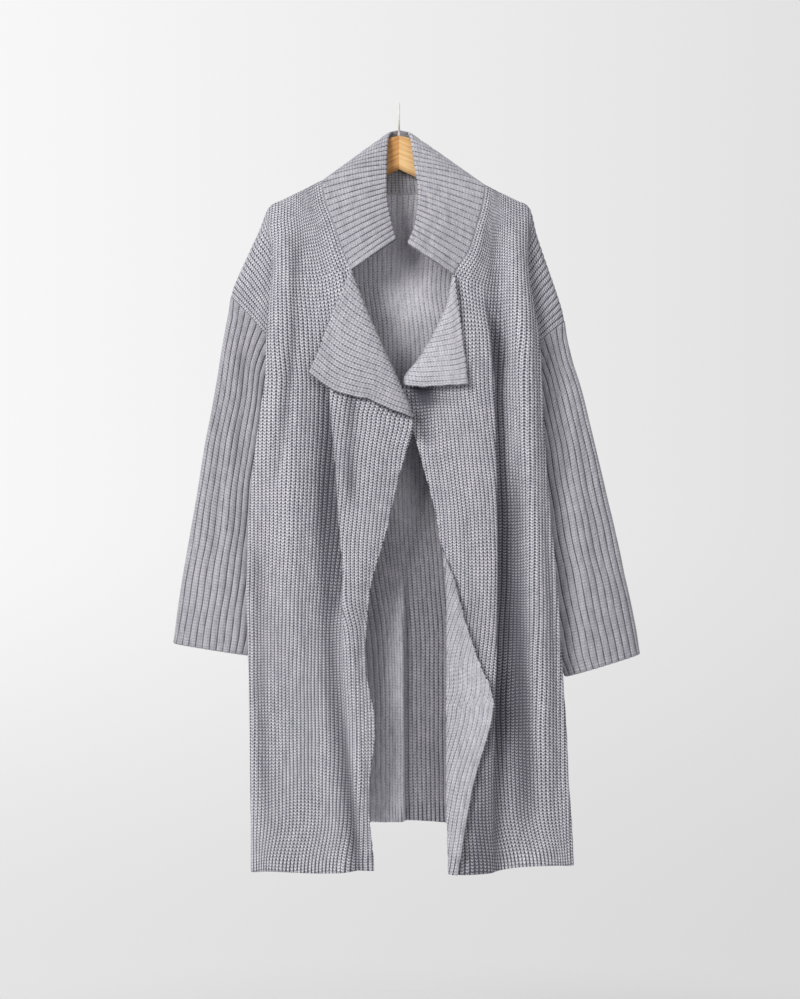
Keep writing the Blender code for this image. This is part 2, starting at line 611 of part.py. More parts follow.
def build_hook():
    """The wire hook: a stem out of the wood, then most of a turn that opens towards the wall."""
    radius = HOOK_INNER + HOOK_WIRE / 2
    centre_z = -HOOK_INNER
    turn = np.radians(np.linspace(HOOK_FROM, HOOK_TO, 22))
    loop_y = -radius * np.cos(turn)
    loop_z = centre_z + radius * np.sin(turn)
    stem_foot = table(HANGER)["top"][0] + SEAM_GAP
    knee = np.array([0.25, 0.5, 0.75])
    foot = np.array([[0.0, stem_foot], [0.0, stem_foot + 3.0]])
    first = np.array([loop_y[0], loop_z[0]])
    bend = foot[1] + (first - foot[1]) * knee[:, None]
    bend[:, 0] = first[0] * knee**2
    path = np.concatenate([foot, bend, np.stack([loop_y, loop_z], axis=1)])
    along = np.gradient(path, axis=0)
    along /= np.linalg.norm(along, axis=1, keepdims=True)
    sides = 10
    around = 2 * np.pi * np.arange(sides) / sides
    ring_x = np.cos(around) * HOOK_WIRE / 2
    ring_n = np.sin(around) * HOOK_WIRE / 2
    points = []
    for (y, z), (ty, tz) in zip(path, along):
        points += [(rx, y - tz * rn, z + ty * rn) for rx, rn in zip(ring_x, ring_n)]
    faces = [list(range(sides)), [(len(path) - 1) * sides + k for k in reversed(range(sides))]]
    for i in range(len(path) - 1):
        for k in range(sides):
            m = (k + 1) % sides
            faces.append([i * sides + m, i * sides + k, (i + 1) * sides + k, (i + 1) * sides + m])
    add_solid("hanger_hook", np.array(points), faces, METAL_COLOUR, roughness=0.3, metallic=1.0)


for old in list(bpy.data.objects):
    bpy.data.objects.remove(old, do_unlink=True)

build_front("front_panel_right", table(FRONT_RIGHT), -1, lower_flap=False)
build_front("front_panel_left", table(FRONT_LEFT), 1, lower_flap=True)
build_back()
build_sleeve("sleeve_right", table(FRONT_RIGHT), SLEEVE_RIGHT, -1)
build_sleeve("sleeve_left", table(FRONT_LEFT), SLEEVE_LEFT, 1)
build_collar()
build_hanger()
build_hook()
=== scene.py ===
"""The look of the long ribbed open-front cardigan on its wooden hanger.

Tables and sizes are in millimetres, in the frame of the solids: the origin is the inside of the
hook's crown, +Z is up, the front of the garment faces -Y, and +X is to the right seen from the
front. Left and right in the names are the wearer's.

Every cloth piece is worked out on a grid of ribs and courses. A course (a row of the knitting) is a
smooth curve through named stations, and the ribs cross it at even distances, so the knitting turns
with the cloth over its folds and lapels.
"""

import bpy
import numpy as np
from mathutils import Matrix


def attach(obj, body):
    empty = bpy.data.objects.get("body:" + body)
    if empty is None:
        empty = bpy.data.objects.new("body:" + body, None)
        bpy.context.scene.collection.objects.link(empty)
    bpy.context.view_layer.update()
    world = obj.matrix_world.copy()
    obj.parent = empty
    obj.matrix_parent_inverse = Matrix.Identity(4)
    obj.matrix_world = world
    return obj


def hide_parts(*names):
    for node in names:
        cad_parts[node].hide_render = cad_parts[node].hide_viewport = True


MM = 0.001
RIGHT, LEFT = -1, 1
NAMES = {RIGHT: "right", LEFT: "left"}

# Knitting
WALL = 2.6  # thickness of the knitting between its ribs
SEAM_GAP = 0.3
RIB_RISE = 1.0  # how far a rib stands out of its groove on the right side
COURSE = 4.3  # height of one course of stitches
RIB_PITCH = 6.2
TURNED_PITCH = 6.4  # on the lower turned-out cloth
BODY_RIBS = 56  # in a front panel
FOLD_RIB = 38  # the one at the side fold, at the shoulder
TOP_RIBS = 14  # those that turn out into the lapel
LAPEL_CLOSER = 1.4  # how much closer together the ribs lie on the lapel
GATHERED_RIBS = 17.0  # beside the edge, where the ribs lie closer or wider than elsewhere
BACK_RIBS = 84
SLEEVE_RIBS = 26
COLLAR_FRONT_RIBS = 24
COLLAR_BACK_RIBS = 26
COLLAR_RIBS = 2 * COLLAR_FRONT_RIBS + COLLAR_BACK_RIBS
CORNER_RIB = 16.0  # the collar's rib that meets the seam at the shoulder corner
BODY_PHASES = (0.0, 0.2, 0.5, 0.8)  # places of the points within a rib
SLEEVE_PHASES = (0.0, 0.1, 0.28, 0.5, 0.72, 0.9)
COLLAR_PHASES = (0.0, 0.1, 0.3, 0.5, 0.7, 0.9)
FRONT_ROWS, BACK_ROWS, SLEEVE_ROWS, COLLAR_ROWS = 186, 140, 110, 36
FINE = 16  # points worked out between two stations of a course
STRAY = 0.09  # how far the body's ribs wander sideways, in ribs
BODY_SHOULDER, SLEEVE_SHOULDER, COLLAR_SHOULDER = 0.7, 0.62, 0.5  # low for broad ribs
RIB_SINK = 0.3  # how far a groove lies below the wall's face
INNER_RISE, TURNED_RISE, INNER_SINK = 0.4, 1.2, 0.1  # inside, and inside where it is turned out
SLEEVE_RISE, SLEEVE_SINK = 2.1, 0.9
COLLAR_RISE, COLLAR_SINK = 1.9, 0.8
COLLAR_INNER_RISE, COLLAR_INNER_SINK = 1.1, 0.4
BACK_INNER_RISE = 0.35
SEAM_STEP, SEAM_SIDES = 1.3, 8
SEAM_RADIUS, NECK_RADIUS, NAPE_THICKER = 1.2, 1.1, 0.9
FOLD_REACH, PITCH_REACH, BEND_REACH = 16, 26, 14  # points to either side that calm a value

# Hems and free edges
BORDER = 32.0  # height of the plain border knitted in one at the hem
BORDER_FADE = 24.0
HEM_REACH = 95.0  # height over which the ribs of a front lean outwards to the hem
HEM_LEAN = 11.0
HEM_WAVE = 2.2
EDGE_RIM = 1.1  # how far the rounded edge stands out of the last points
EDGE_CURL = 1.5  # how far the cloth beside a free edge curls to and fro

# Form of the fronts
RIDGE_RISE = 4.0
SEAM_TURN = 7.0
BACK_TURN = 1.5
BACK_INSET = 4.0
END_BEND = 0.12  # where a row bends into its end, as a share of the way from the tuck
TUCK_DROP = 0.25  # how far the tuck lies below the fold, as a share of the drop to the end
ROLL_DEPTH = 6.0
ROLL_SHARE = 0.35  # most of the turned-out width that the roll may take
LAPEL_STAND = 13.0
LAPEL_LENGTH = 160.0
LAPEL_BULGE = {RIGHT: 9.0, LEFT: 0.0}  # of its lower edge, near the corner
LAPEL_BULGE_SHARE = 0.55  # how far down the lapel the bulge reaches
LAPEL_CORNER = {RIGHT: (127.0, -393.0), LEFT: (98.5, -411.0)}
# Painted shade on the right lapel and painted light on the left one, by how each faces the key
# light.
LAPEL_SHADE = {RIGHT: 0.2, LEFT: -0.3}
FLAP_STAND = 0.06
FLAP_LIGHT = -0.8  # painted light on the lower turned-out cloth, which faces the light
SLANT = 0.56  # how fast the ribs leave its edge above its widest row
PLEAT_DEPTH = 11.0  # of the hollow behind the pleat's edge
PLEAT_PLACE, PLEAT_WIDTH = 13.0, 14.0
SOFT_BELOW, SOFT_MARGIN = -880.0, 12.0  # where a front's bends are rounded, and how far from folds

# Back, sleeves and collar
BACK_CREASE_X = 4.0  # the sharp crease low in the middle of the back, seen from inside
BACK_CREASE_TOP = -610.0
BACK_CREASE_LOW = -760.0
BACK_CREASE_RISE = 15.0
BACK_CREASE_HOLLOW = 4.5
BACK_GATHER = 12.0  # how far the ribs are drawn towards that crease
BACK_SOFT_TO = 175.0  # the back's bends are rounded within this distance of the middle
SLEEVE_GAP = 1.5
UNDERARM_GAP = 3.0
CAP_LENGTH, CAP_ROWS = 30.0, 6  # from the armhole to the first ring of the table
COLLAR_GAP = 1.5
COLLAR_CORNER_GAP = 1.0
COLLAR_BULGE = 5.0
BACK_LEAN = 0.8
CREST_SHARE, YOKE_SHARE = 0.78, 0.35  # places of the back's stations from the neck to the fold
NECK_INWARD = 0.35

# Surroundings
ROOM_LIGHT = 0.22  # brightness in front of the garment
FLOOR_RADIUS, FLOOR_HEIGHT, FLOOR_SIDES = 9.0, -1.5, 96  # in metres

# Rows of the tables, and stations of a row
NECK_ROW, YOKE_ROW, NOTCH_ROW, UNDERARM_ROW, LAPEL_END_ROW, LAST_ROW = 2, 4, 6, 8, 10, 17
EDGE, UNDER, FOLD, END = 3, 7, 10, 13  # of a front: edge or roll line, pleat, side fold, end
NAPE_STATIONS = slice(7, 12)
MIDDLE_STATION = 9  # of the back

# Tables
FRONT_COLUMNS = (
    "row edge_x edge_z edge_y turned pleat_x overlap valley_x valley_y "
    "crest_x crest_y fold_x fold_z roll tuck end_x end_z end_y\n"
)
FRONT_RIGHT = FRONT_COLUMNS + """
seam       112 -111.5   0   0 128  -9 150   0 168   0 187   -149  0 -14 243   -279   0
over       112   -113  -6   0 128  -9 150  -6 168  -6 187 -150.5  0 -14 243 -280.5  -5
front      111   -121 -11   0 128  -9 150 -12 168 -12 187   -158  0 -12 240   -284  -9
blade      107   -142 -17   0 124  -9 148 -22 166 -25 187   -178  3   2 231   -293 -13
yoke        96   -172 -26   0 116  -9 144 -31 164 -38 182   -210  8  10 213   -312 -15
collarbone  84   -208 -34   0 108  -9 137 -36 160 -45 181   -243 10  14 193   -334 -16
notch       69   -246 -41 160  98  -9 128 -40 158 -49 184   -276 11  18 172   -357 -16
lapel_1     48   -298 -50 120  92  -6 120 -42 156 -52 187   -314 12  22 155   -376 -13
lapel_2     24   -353 -55  80  97   3 116 -43 154 -53 190   -353 12  26 143   -392  -4
lapel_3      0   -408 -59  40  99   8 114 -43 154 -53 191   -394 12  27 146   -430  -4
lapel_end  -20   -462 -60   0  97  10 112 -43 155 -54 197   -440 12  28 150   -466  -4
waist        0   -540 -60   0  92  12 108 -44 157 -55 208   -522 12  28 156   -520  -4
hip         19   -622 -60   0  85  12 102 -45 158 -56 215   -608 12  28 162   -606  -4
thigh       43   -712 -61   0  76   6  98 -47 160 -57 218   -700 12  26 168   -700  -4
cuff        49   -805 -61   0  78  -6 106 -50 162 -57 215   -800 11  22 176   -800  -4
low         35   -900 -62   0  74 -10 110 -52 164 -57 213   -900 10  14 188   -900  -4
lower       44  -1002 -62   0  78 -12 112 -53 165 -57 212  -1002  9   8 198  -1002  -4
hem         36  -1106 -62   0  74 -14 114 -54 167 -57 211  -1109  8   4 203  -1108  -4
"""
FRONT_LEFT = FRONT_COLUMNS + """
seam       126 -118.5   0   0 138 -8 156   0 170   0 187   -149  0 -12 239   -314   0
over       126   -120  -6   0 138 -8 156  -6 170  -6 187 -150.5  0 -12 239 -315.5  -5
front      125   -128 -11   0 137 -8 155 -12 170 -12 187   -159  0 -10 237   -318  -9
blade      121   -150 -17   0 134 -8 153 -22 168 -25 186   -182  4   2 228   -325 -13
yoke       112   -181 -26   0 128 -8 150 -30 166 -38 184   -214  8  10 211   -339 -15
collarbone 101   -216 -34   0 122 -8 148 -34 166 -45 186   -250 10  14 192   -357 -16
notch       79   -252 -38 160 120 -5 147 -36 169 -48 192   -288 11  18 172   -379 -16
lapel_1     70   -292 -42 120 124  0 146 -36 172 -50 197   -318 12  22 155   -399 -13
lapel_2     52   -333 -45  80 130  4 147 -36 175 -52 201   -346 12  26 143   -416  -4
lapel_3     28   -374 -47  40 134  6 149 -36 178 -53 203   -378 12  28 147   -440  -4
lapel_end    5   -414 -46   0 136  7 150 -36 181 -53 205   -418 12  28 152   -466  -4
waist       32   -515 -50   0 138  9 152 -36 186 -54 210   -515 12  28 160   -515  -4
hip         56   -610 -54   0 140 10 153 -36 192 -55 218   -610 12  28 167   -610  -4
thigh       69   -715 -58  16 139 10 154 -36 196 -56 228   -715 12  28 176   -715  -4
cuff        69   -800 -60  42 138  9 155 -37 200 -57 233   -810 12  26 184   -810  -4
low         69   -869 -60  65 138  8 156 -38 202 -57 237   -869 11  22 196   -869  -4
lower       69   -985 -60  36 138  5 158 -40 205 -57 243   -985  9  12 216   -985  -4
hem         72  -1111 -60  12 138  0 160 -44 208 -57 250  -1097  8   6 238  -1102  -4
"""
BACK = """
row         mid_z mid_y side_y roll end_y
seam         -128    14      0    0     0
over       -129.5    15      6    0     5
front        -137    16     11    0     9
blade        -158    18     18    2    11
yoke         -190    20     23    4    12
collarbone   -224    22     26    5    12
notch        -262    23     28    6    12
lapel_1      -302    24     29    6     9
lapel_2      -345    24     30    6    -4
lapel_3      -390    24     30    6    -4
lapel_end    -436    24     30    6    -4
waist        -514    24     30    6    -4
hip          -598    23     30    6    -4
thigh        -688    22     30    6    -4
cuff         -780    22     29    6    -4
low          -862    21     28    6    -4
lower        -952    21     27    5    -4
hem         -1043    20     26    5    -4
"""
BACK_FOLDS = """
fold         at forward nape_x nape_rise nape_forward
right_outer -96      -7   -103      16.5         -5.5
right_inner -62       6    -55       3            0
middle        2     -10      6       0            0
left_inner   48      -8     66       3            0
left_outer  108       7    117       9.5         -5.5
"""
SLEEVE_RIGHT = """
ring      outer_x outer_z inner_x inner_z mid_y half_y
cap           247    -303     163    -410    -3      9
upper         253    -335     174    -438    -3     12
elbow_1       264    -406     178    -492    -4     14
elbow_2       280    -492     186    -550    -4     14
forearm_1     294    -580     192    -620    -4     14
forearm_2     312    -680     201    -706    -4     15
wrist         323    -756     208    -775    -4     16
cuff          326    -783     213    -801    -4     16
"""
SLEEVE_LEFT = """
ring      outer_x outer_z inner_x inner_z mid_y half_y
cap           243    -338     163    -432    -3      9
upper         248    -362     175    -458    -3     12
elbow_1       266    -424     182    -508    -4     14
elbow_2       290    -525     192    -577    -4     14
forearm_1     311    -612     203    -655    -4     14
forearm_2     329    -696     216    -732    -4     15
wrist         344    -770     232    -802    -4     17
cuff          348    -799     243    -831    -4     17
"""
COLLAR_EDGE = """
place        x   y    z
right_end   -5 -50 -202
right_low  -11 -46 -180
right_mid  -18 -37 -140
right_high -19 -25  -95
right_top  -17 -13  -54
right_turn -13   0  -41
right_back  -9   9  -38
back_mid     0  13  -36
left_back    9   9  -38
left_turn   14   0  -41
left_top    18 -13  -54
left_high   23 -25  -90
left_mid    29 -36 -135
left_low    23 -44 -182
left_end    13 -48 -208
"""
# In the crease tables, shade is painted shade along the crease, and painted light where it is below
# 0.
CREASES_FRONT_RIGHT = """
crease     x1   z1   x2   z2   x3    z3 width depth shade
shoulder -142 -160 -148 -345 -182  -590    10    -7   0.1
arm      -174 -180 -176 -310 -180  -440     9     3     0
breast   -113 -262 -111 -320 -112  -400    10     4     0
valley   -112 -400  -94 -830  -48 -1240    13   -10  0.45
inner     -69 -395  -68 -480  -66  -600     9    -3   0.7
crest    -160 -420 -152 -700 -140 -1040    16     5  -0.1
pleat     -82 -640  -72 -760  -52 -1040     8     4  -0.1
side     -206 -600 -198 -840 -190 -1080    12    -6   0.1
"""
CREASES_FRONT_LEFT = """
crease  x1   z1  x2    z2  x3    z3 width depth shade
valley 134 -150 141  -300 146  -420    10    -7   0.1
beside 166 -480 172  -800 180 -1110    18    -4   1.3
low    140 -800 130 -1000  98 -1240    26    -3   0.9
ridge  170 -180 192  -600 212 -1040    14     6  -0.1
arm    196 -170 204  -330 214  -560     9    -5   0.1
side   218 -520 226  -800 228 -1060    12    -5   0.2
inner   96 -560 104  -700 112  -850     9    -3     0
under   24 -385  34  -432  37  -505    15    -3   1.2
below   34 -392  34  -416  36  -446    30    -2   0.9
"""
CREASES_BACK = """
crease   x1   z1   x2   z2   x3    z3 width depth shade
right  -150 -230 -165 -560 -160  -990    20     5     0
centre  -30 -200  -22 -420  -34  -700    16    -4   0.1
left    110 -240  138 -560  150  -980    18     4     0
side    190 -400  205 -700  208 -1000    14    -4   0.1
"""
# Painted light on the inside face of the back alone: shade below 0 lightens the yarn's colour
# there.
LIT_INSIDE = """
place  x1   z1  x2   z2  x3    z3 width depth shade
low   -36 -720 -32 -900 -26 -1240    19     0  -1.1
nape   14 -130  14 -220  16  -320    42     0  -0.8
waist  14 -410  14 -500  12  -640    26     0  -0.9
"""
CREASES_SLEEVE_RIGHT = """
crease    x1   z1   x2   z2   x3   z3 width depth shade
front_1 -232 -330 -226 -420 -236 -560     9    -4   0.1
front_2 -262 -420 -262 -560 -276 -700     8    -3   0.1
front_3 -246 -520 -252 -640 -262 -760     9     3     0
"""
CREASES_SLEEVE_LEFT = """
crease   x1   z1  x2   z2  x3   z3 width depth shade
front_1 228 -350 232 -440 246 -580     9    -4   0.1
front_2 262 -430 272 -570 292 -720     8    -3   0.1
front_3 248 -520 262 -650 280 -780     9     3     0
"""
# lightness scales a material's yarn colours. That of the two wrong-side materials is partly their
# own paler look and partly painted light on cloth that lies in shade: the inside of the back, the
# lapels and the turned-out flap.
KNITTING = """
material              wales groove line dots middle legs lightness
body_rib_right_side       1   0.26 0    1.20   0.70 0.55      1.32
body_rib_wrong_side       2   0.18 0.20 0.26   0.14 0.38      1.14
back_rib_wrong_side       1   0.18 0.06 0.26   0.20 0.36      1.17
sleeve_rib                3   0.12 0.46 0.44   0    0.38      1.01
sleeve_rib_wrong_side     3   0.12 0.40 0.10   0    0.15      0.95
collar_rib                3   0.16 0.30 0.36   0    0.38      1.06
"""


# ---------------- curves and tables

def table(text):
    """Columns of a table as arrays, by their headings; the first column names the row."""
    lines = [line.split() for line in text.splitlines() if line]
    columns = np.array([[float(cell) for cell in line[1:]] for line in lines[1:]]).T
    return dict(zip(lines[0][1:], columns))


FRONTS = {RIGHT: table(FRONT_RIGHT), LEFT: table(FRONT_LEFT)}
SLEEVES = {RIGHT: table(SLEEVE_RIGHT), LEFT: table(SLEEVE_LEFT)}
FRONT_CREASES = {RIGHT: CREASES_FRONT_RIGHT, LEFT: CREASES_FRONT_LEFT}
SLEEVE_CREASES = {RIGHT: CREASES_SLEEVE_RIGHT, LEFT: CREASES_SLEEVE_LEFT}


def between(value, first, last):
    """0 up to first, 1 from last, and even between."""
    return np.clip((value - first) / (last - first), 0, 1)


def ease(value):
    """0 below 0, 1 above 1, and 3t squared minus 2t cubed between."""
    t = np.clip(value, 0, 1)
    return t * t * (3 - 2 * t)


def clear_of(value, first, last, margin):
    """1 well inside two ends, and eased to 0 within the margin of either."""
    return ease((value - first) / margin) * ease((last - value) / margin)


def bell(value, middle, width):
    """1 at the middle, and e to the minus square of the distance in widths beside it."""
    return np.exp(-(((value - middle) / width) ** 2))


def flutter(length, wave, sway, slow):
    """An uneven wave down an edge: a sine whose own phase sways slowly."""
    return np.sin(length / wave + sway * np.sin(length / slow))


def hermite(start, leave, stop, arrive, t):
    """The cubic from start to stop that leaves and arrives with these slopes."""
    return (start * (2 * t**3 - 3 * t**2 + 1) + leave * (t**3 - 2 * t**2 + t)
            + stop * (3 * t**2 - 2 * t**3) + arrive * (t**3 - t**2))


def smooth(values, at):
    """Values at fractional row numbers, on a cubic curve that never overshoots its rows."""
    values = np.asarray(values, float)
    step = np.diff(values, axis=0)
    slope = np.zeros_like(values)
    before, after = step[:-1], step[1:]
    same_way = before * after > 0
    slope[1:-1][same_way] = (2 * before * after)[same_way] / (before + after)[same_way]
    slope[0], slope[-1] = step[0], step[-1]
    low = np.clip(np.floor(at).astype(int), 0, len(values) - 2)
    t = (np.asarray(at) - low).reshape((-1,) + (1,) * (values.ndim - 1))
    return hermite(values[low], slope[low], values[low + 1], slope[low + 1], t)


def rows_at(columns, at):
    """The columns of a table at fractional row numbers."""
    return {name: smooth(column, at) for name, column in columns.items()}


def curve_through(stations):
    """A dense smooth curve through each row of stations, and the length along it at its points.

    Between two stations it is a cubic Hermite curve whose knots lie by the root of distance, so it
    neither loops nor overshoots at a tight fold.
    """
    step = np.diff(stations, axis=1)
    chord = np.sqrt(np.linalg.norm(step, axis=2, keepdims=True)) + 1e-6
    slope = step / chord
    ahead, behind = chord[:, 1:], chord[:, :-1]
    tangent = np.empty_like(stations)
    tangent[:, 1:-1] = (slope[:, :-1] * ahead + slope[:, 1:] * behind) / (ahead + behind)
    tangent[:, 0], tangent[:, -1] = slope[:, 0], slope[:, -1]
    spans = (stations[:, :-1], tangent[:, :-1] * chord, stations[:, 1:], tangent[:, 1:] * chord)
    t = (np.arange(FINE) / FINE)[:, None]
    curve = hermite(*(part[:, :, None] for part in spans), t).reshape(len(stations), -1, 3)
    curve = np.concatenate([curve, stations[:, -1:]], axis=1)
    step = np.linalg.norm(np.diff(curve, axis=1), axis=2)
    return curve, np.pad(np.cumsum(step, axis=1), ((0, 0), (1, 0)))


def read_along(line, along, wanted):
    """Points of a line at the wanted lengths, when along is the length at its own points."""
    return np.stack([np.interp(wanted, along, column) for column in line.T], axis=-1)


def points_at(curve, along, wanted):
    """Points of each row's curve at the wanted lengths along it."""
    return np.array([read_along(*row) for row in zip(curve, along, wanted)])


def down_the_cloth(points):
    """Distance down a line of points, from its first."""
    return np.append(0, np.cumsum(np.linalg.norm(np.diff(points, axis=0), axis=1)))


def even_rows(line, marks, count):
    """Row numbers evenly spaced by length on the cloth, with every mark hit, and that length.

    line gives the points of a line down the cloth at the row numbers it is given.
    """
    fine = np.linspace(marks[0], marks[-1], 40 * (marks[-1] - marks[0]) + 1)
    lengths = down_the_cloth(line(fine))
    stops = np.interp(marks, fine, lengths)
    length = [
        np.linspace(first, last, max(2, round((last - first) / lengths[-1] * count)) + 1)[:-1]
        for first, last in zip(stops[:-1], stops[1:])
    ]
    length = np.append(np.concatenate(length), lengths[-1])
    return np.interp(length, lengths, fine), length


# ---------------- the form of the garment

def turn_at(at):
    """How far the cloth turns out of its end: little at the shoulder, all of it by the underarm."""
    return 1.0 + (SEAM_TURN - 1.0) * between(at, YOKE_ROW, UNDERARM_ROW)


def turned_at(at, side):
    """Width of cloth turned out beyond the edge: even down the lapel, smooth below it."""
    share = between(at, NOTCH_ROW, LAPEL_END_ROW)
    bulge = LAPEL_BULGE[side] * np.sin(np.pi * np.clip(share / LAPEL_BULGE_SHARE, 0, 1))
    lapel = LAPEL_LENGTH * (1 - share) + bulge
    lower = np.maximum(smooth(FRONTS[side]["turned"], np.maximum(at, LAPEL_END_ROW)), 0)
    return np.where(at < NOTCH_ROW, 0.0, np.where(at < LAPEL_END_ROW, lapel, lower))


def row_end(row, fold_x, tuck_y, bend_y, end_y):
    """The stations of a front's row after its side fold: the tuck, the bend and the end."""
    end_x, end_z, tuck_x = row["end_x"], row["end_z"], fold_x - row["tuck"]
    drop = end_z - row["fold_z"]
    return [
        (tuck_x, tuck_y, row["fold_z"] + TUCK_DROP * drop),
        (end_x + END_BEND * (tuck_x - end_x), bend_y, end_z - END_BEND * drop),
        (end_x, end_y, end_z),
    ]


def front_stations(at, side):
    """Stations of a front panel's rows: the turned-out edge, then from the edge to the end."""
    columns = FRONTS[side]
    row = rows_at(columns, at)
    notch = np.array([columns["edge_x"][NOTCH_ROW], columns["edge_z"][NOTCH_ROW]])
    lean = LAPEL_CORNER[side] - notch
    on_lapel = at <= LAPEL_END_ROW
    way = np.where(on_lapel[:, None], lean / np.linalg.norm(lean), [1.0, 0.0])
    turned = turned_at(at, side)
    half = np.minimum(ROLL_DEPTH, ROLL_SHARE * turned)
    stand = np.where(on_lapel, LAPEL_STAND / LAPEL_LENGTH, FLAP_STAND) * turned
    # Where nothing is turned out, its three stations lie on the body, 9 to 3 mm inside the edge.
    flat = turned < 1.0
    reach = np.where(flat, -9.0, turned)
    near = np.where(flat, -3.0, np.minimum(1.3 * half, turned / 3))
    edge_x, edge_y, edge_z = row["edge_x"], row["edge_y"], row["edge_z"]
    slant = (row["fold_z"] - edge_z) / (row["fold_x"] - edge_x)

    def out_of_edge(distance, y):
        return edge_x + way[:, 0] * distance, y, edge_z + way[:, 1] * distance

    def on_body(x, y):
        return x, y, edge_z + slant * (x - edge_x)

    face_y = edge_y - 2 * half
    pleat_y = edge_y - np.clip(row["overlap"], 0, 4)
    ridge_y = (edge_y + pleat_y) / 2 - RIDGE_RISE * between(at, NECK_ROW, NOTCH_ROW)
    stations = [
        out_of_edge(reach, face_y - stand),
        out_of_edge((near + reach) / 2, face_y - 0.6 * stand - 0.25 * half),
        out_of_edge(near, face_y + 0.1 * half),
        out_of_edge(0 * near, edge_y - half),
        on_body(edge_x + np.maximum(1.3 * half, 3.0), edge_y),
        on_body((edge_x + row["pleat_x"]) / 2, ridge_y),
        on_body(row["pleat_x"], pleat_y),
        on_body(row["pleat_x"] - row["overlap"], 0.4 * pleat_y + 0.6 * row["valley_y"]),
        on_body(row["valley_x"], row["valley_y"]),
        on_body(row["crest_x"], row["crest_y"]),
        on_body(row["fold_x"], row["crest_y"] + row["roll"]),
        *row_end(row, row["fold_x"], row["crest_y"] + 2 * row["roll"],
                 row["end_y"] - turn_at(at), row["end_y"] - SEAM_GAP / 2),
    ]
    return np.array([[side * x, y, z] for x, y, z in stations]).transpose(2, 0, 1)


def back_stations(at):
    """Stations of the back panel's rows, from the wearer's right end to the left end."""
    row = rows_at(table(BACK), at)
    below_neck = between(at, NECK_ROW, YOKE_ROW)
    sides = {}
    for side, columns in FRONTS.items():
        front = rows_at(columns, at)
        fold_x = front["fold_x"] - BACK_INSET * between(at, 0, NOTCH_ROW)
        tuck_y = row["side_y"] - 2 * row["roll"]
        bend_y = np.minimum(row["end_y"] + BACK_TURN * turn_at(at), tuck_y)
        neck_x = columns["edge_x"][0]
        fall = (columns["edge_z"][0] - columns["fold_z"][0]) / (columns["fold_x"][0] - neck_x)

        def across(share, y):
            x = neck_x + share * (fold_x - neck_x)
            on_shoulder = front["fold_z"] + fall * (fold_x - x)
            on_body = row["mid_z"] + (front["fold_z"] - row["mid_z"]) * (x / fold_x) ** 2
            return x, y, on_shoulder + (on_body - on_shoulder) * below_neck

        neck_y = row["side_y"] + (row["mid_y"] - row["side_y"]) * NECK_INWARD * below_neck
        sides[side] = [
            *row_end(front, fold_x, tuck_y, bend_y, row["end_y"] + SEAM_GAP / 2)[::-1],
            (fold_x, row["side_y"] - row["roll"], front["fold_z"]),
            across(CREST_SHARE, row["side_y"]),
            across(YOKE_SHARE, row["side_y"]),
            across(0.0, neck_y),
        ]
    grown = between(at, 0, LAST_ROW) ** 1.5
    at_neck = 1 - below_neck
    middle = []
    for place, forward, neck_x, rise, neck_y in zip(*table(BACK_FOLDS).values()):
        x = neck_x + (place - neck_x) * between(at, 0, NOTCH_ROW)
        fold_x, _, fold_z = sides[RIGHT if place < 0 else LEFT][3]
        lower = (fold_z - row["mid_z"]) * (x / fold_x) ** 2 * below_neck
        y = row["mid_y"] + forward * grown + neck_y * at_neck
        middle.append((x, y, row["mid_z"] + lower + rise * at_neck))
    stations = [(-x, y, z) for x, y, z in sides[RIGHT]] + middle + sides[LEFT][::-1]
    stations = np.array([[value + 0 * at for value in station] for station in stations])
    return stations.transpose(2, 0, 1)


def creases(text, across, down):
    """Soft uneven troughs and ridges: a bell across the cloth that wanders, swells and dies away.

    A crease runs through three places (across, down). Its depth is out of the cloth, or in when
    negative, and shade is painted shade that darkens its yarn's colour along it, and painted light
    where negative. It gives both totals.
    """
    total = np.zeros((2,) + np.broadcast(across, down).shape)
    for x1, z1, x2, z2, x3, z3, width, depth, shade in zip(*table(text).values()):
        share = (down - z1) / (z3 - z1)
        turn = (z2 - z1) / (z3 - z1)
        middle = np.interp(share, (0, turn / 2, turn, (1 + turn) / 2, 1),
                           (x1, 0.55 * x1 + 0.45 * x2, x2, 0.55 * x3 + 0.45 * x2, x3))
        middle = middle + 0.18 * width * np.sin(7.0 * share + x1)
        swell = clear_of(share, 0, 1, 0.22) * (0.85 + 0.15 * np.sin(9 * share + x1))
        swell = swell * bell(across, middle, width)
        total = total + np.array([depth, shade])[:, None, None] * swell
    return total


def calmed(values, reach):
    """The values with their sudden changes spread over a few rows to either side."""
    weights = np.hanning(2 * reach + 3)[1:-1]
    padded = np.pad(values, reach, mode="edge")
    return np.convolve(padded, weights / weights.sum(), mode="valid")


def softened(grid, share):
    """The grid with its bends across the ribs rounded, by the share given at each point."""
    return grid + (np.apply_along_axis(calmed, 1, grid, BEND_REACH) - grid) * share[..., None]


def course_number(down, u):
    """Course numbers down the cloth; the courses sag and rise a little from rib to rib."""
    return down / COURSE + 1.1 * np.sin(u / 6.7 + down / 83) + 0.5 * np.sin(u / 2.9 - down / 41)


def wander(u, down, ribs):
    """How far the ribs stray sideways, in ribs: slow waves, calm at the cloth's two edges."""
    slow = np.sin(down / 47 + 1.3 * np.sin(u / 6.1)) + 0.5 * np.sin(down / 17.3 + u / 2.3)
    return STRAY * slow * clear_of(u, 0, ribs, 3)


# ---------------- knitted walls

def rib_columns(ribs, phases):
    """Rib numbers of the columns: the same places within every rib, and the last rib's far edge."""
    places = np.arange(ribs)[:, None] + np.array(phases)[None]
    return np.append(places.ravel(), ribs)


def rib_profile(phase, shoulder):
    """Height of a rib from 0 in its groove to 1: a power of a sine, broad where shoulder is low."""
    return np.abs(np.sin(np.pi * phase)) ** shoulder


def unit(vectors):
    """The vectors at length 1."""
    return vectors / (np.linalg.norm(vectors, axis=-1, keepdims=True) + 1e-12)


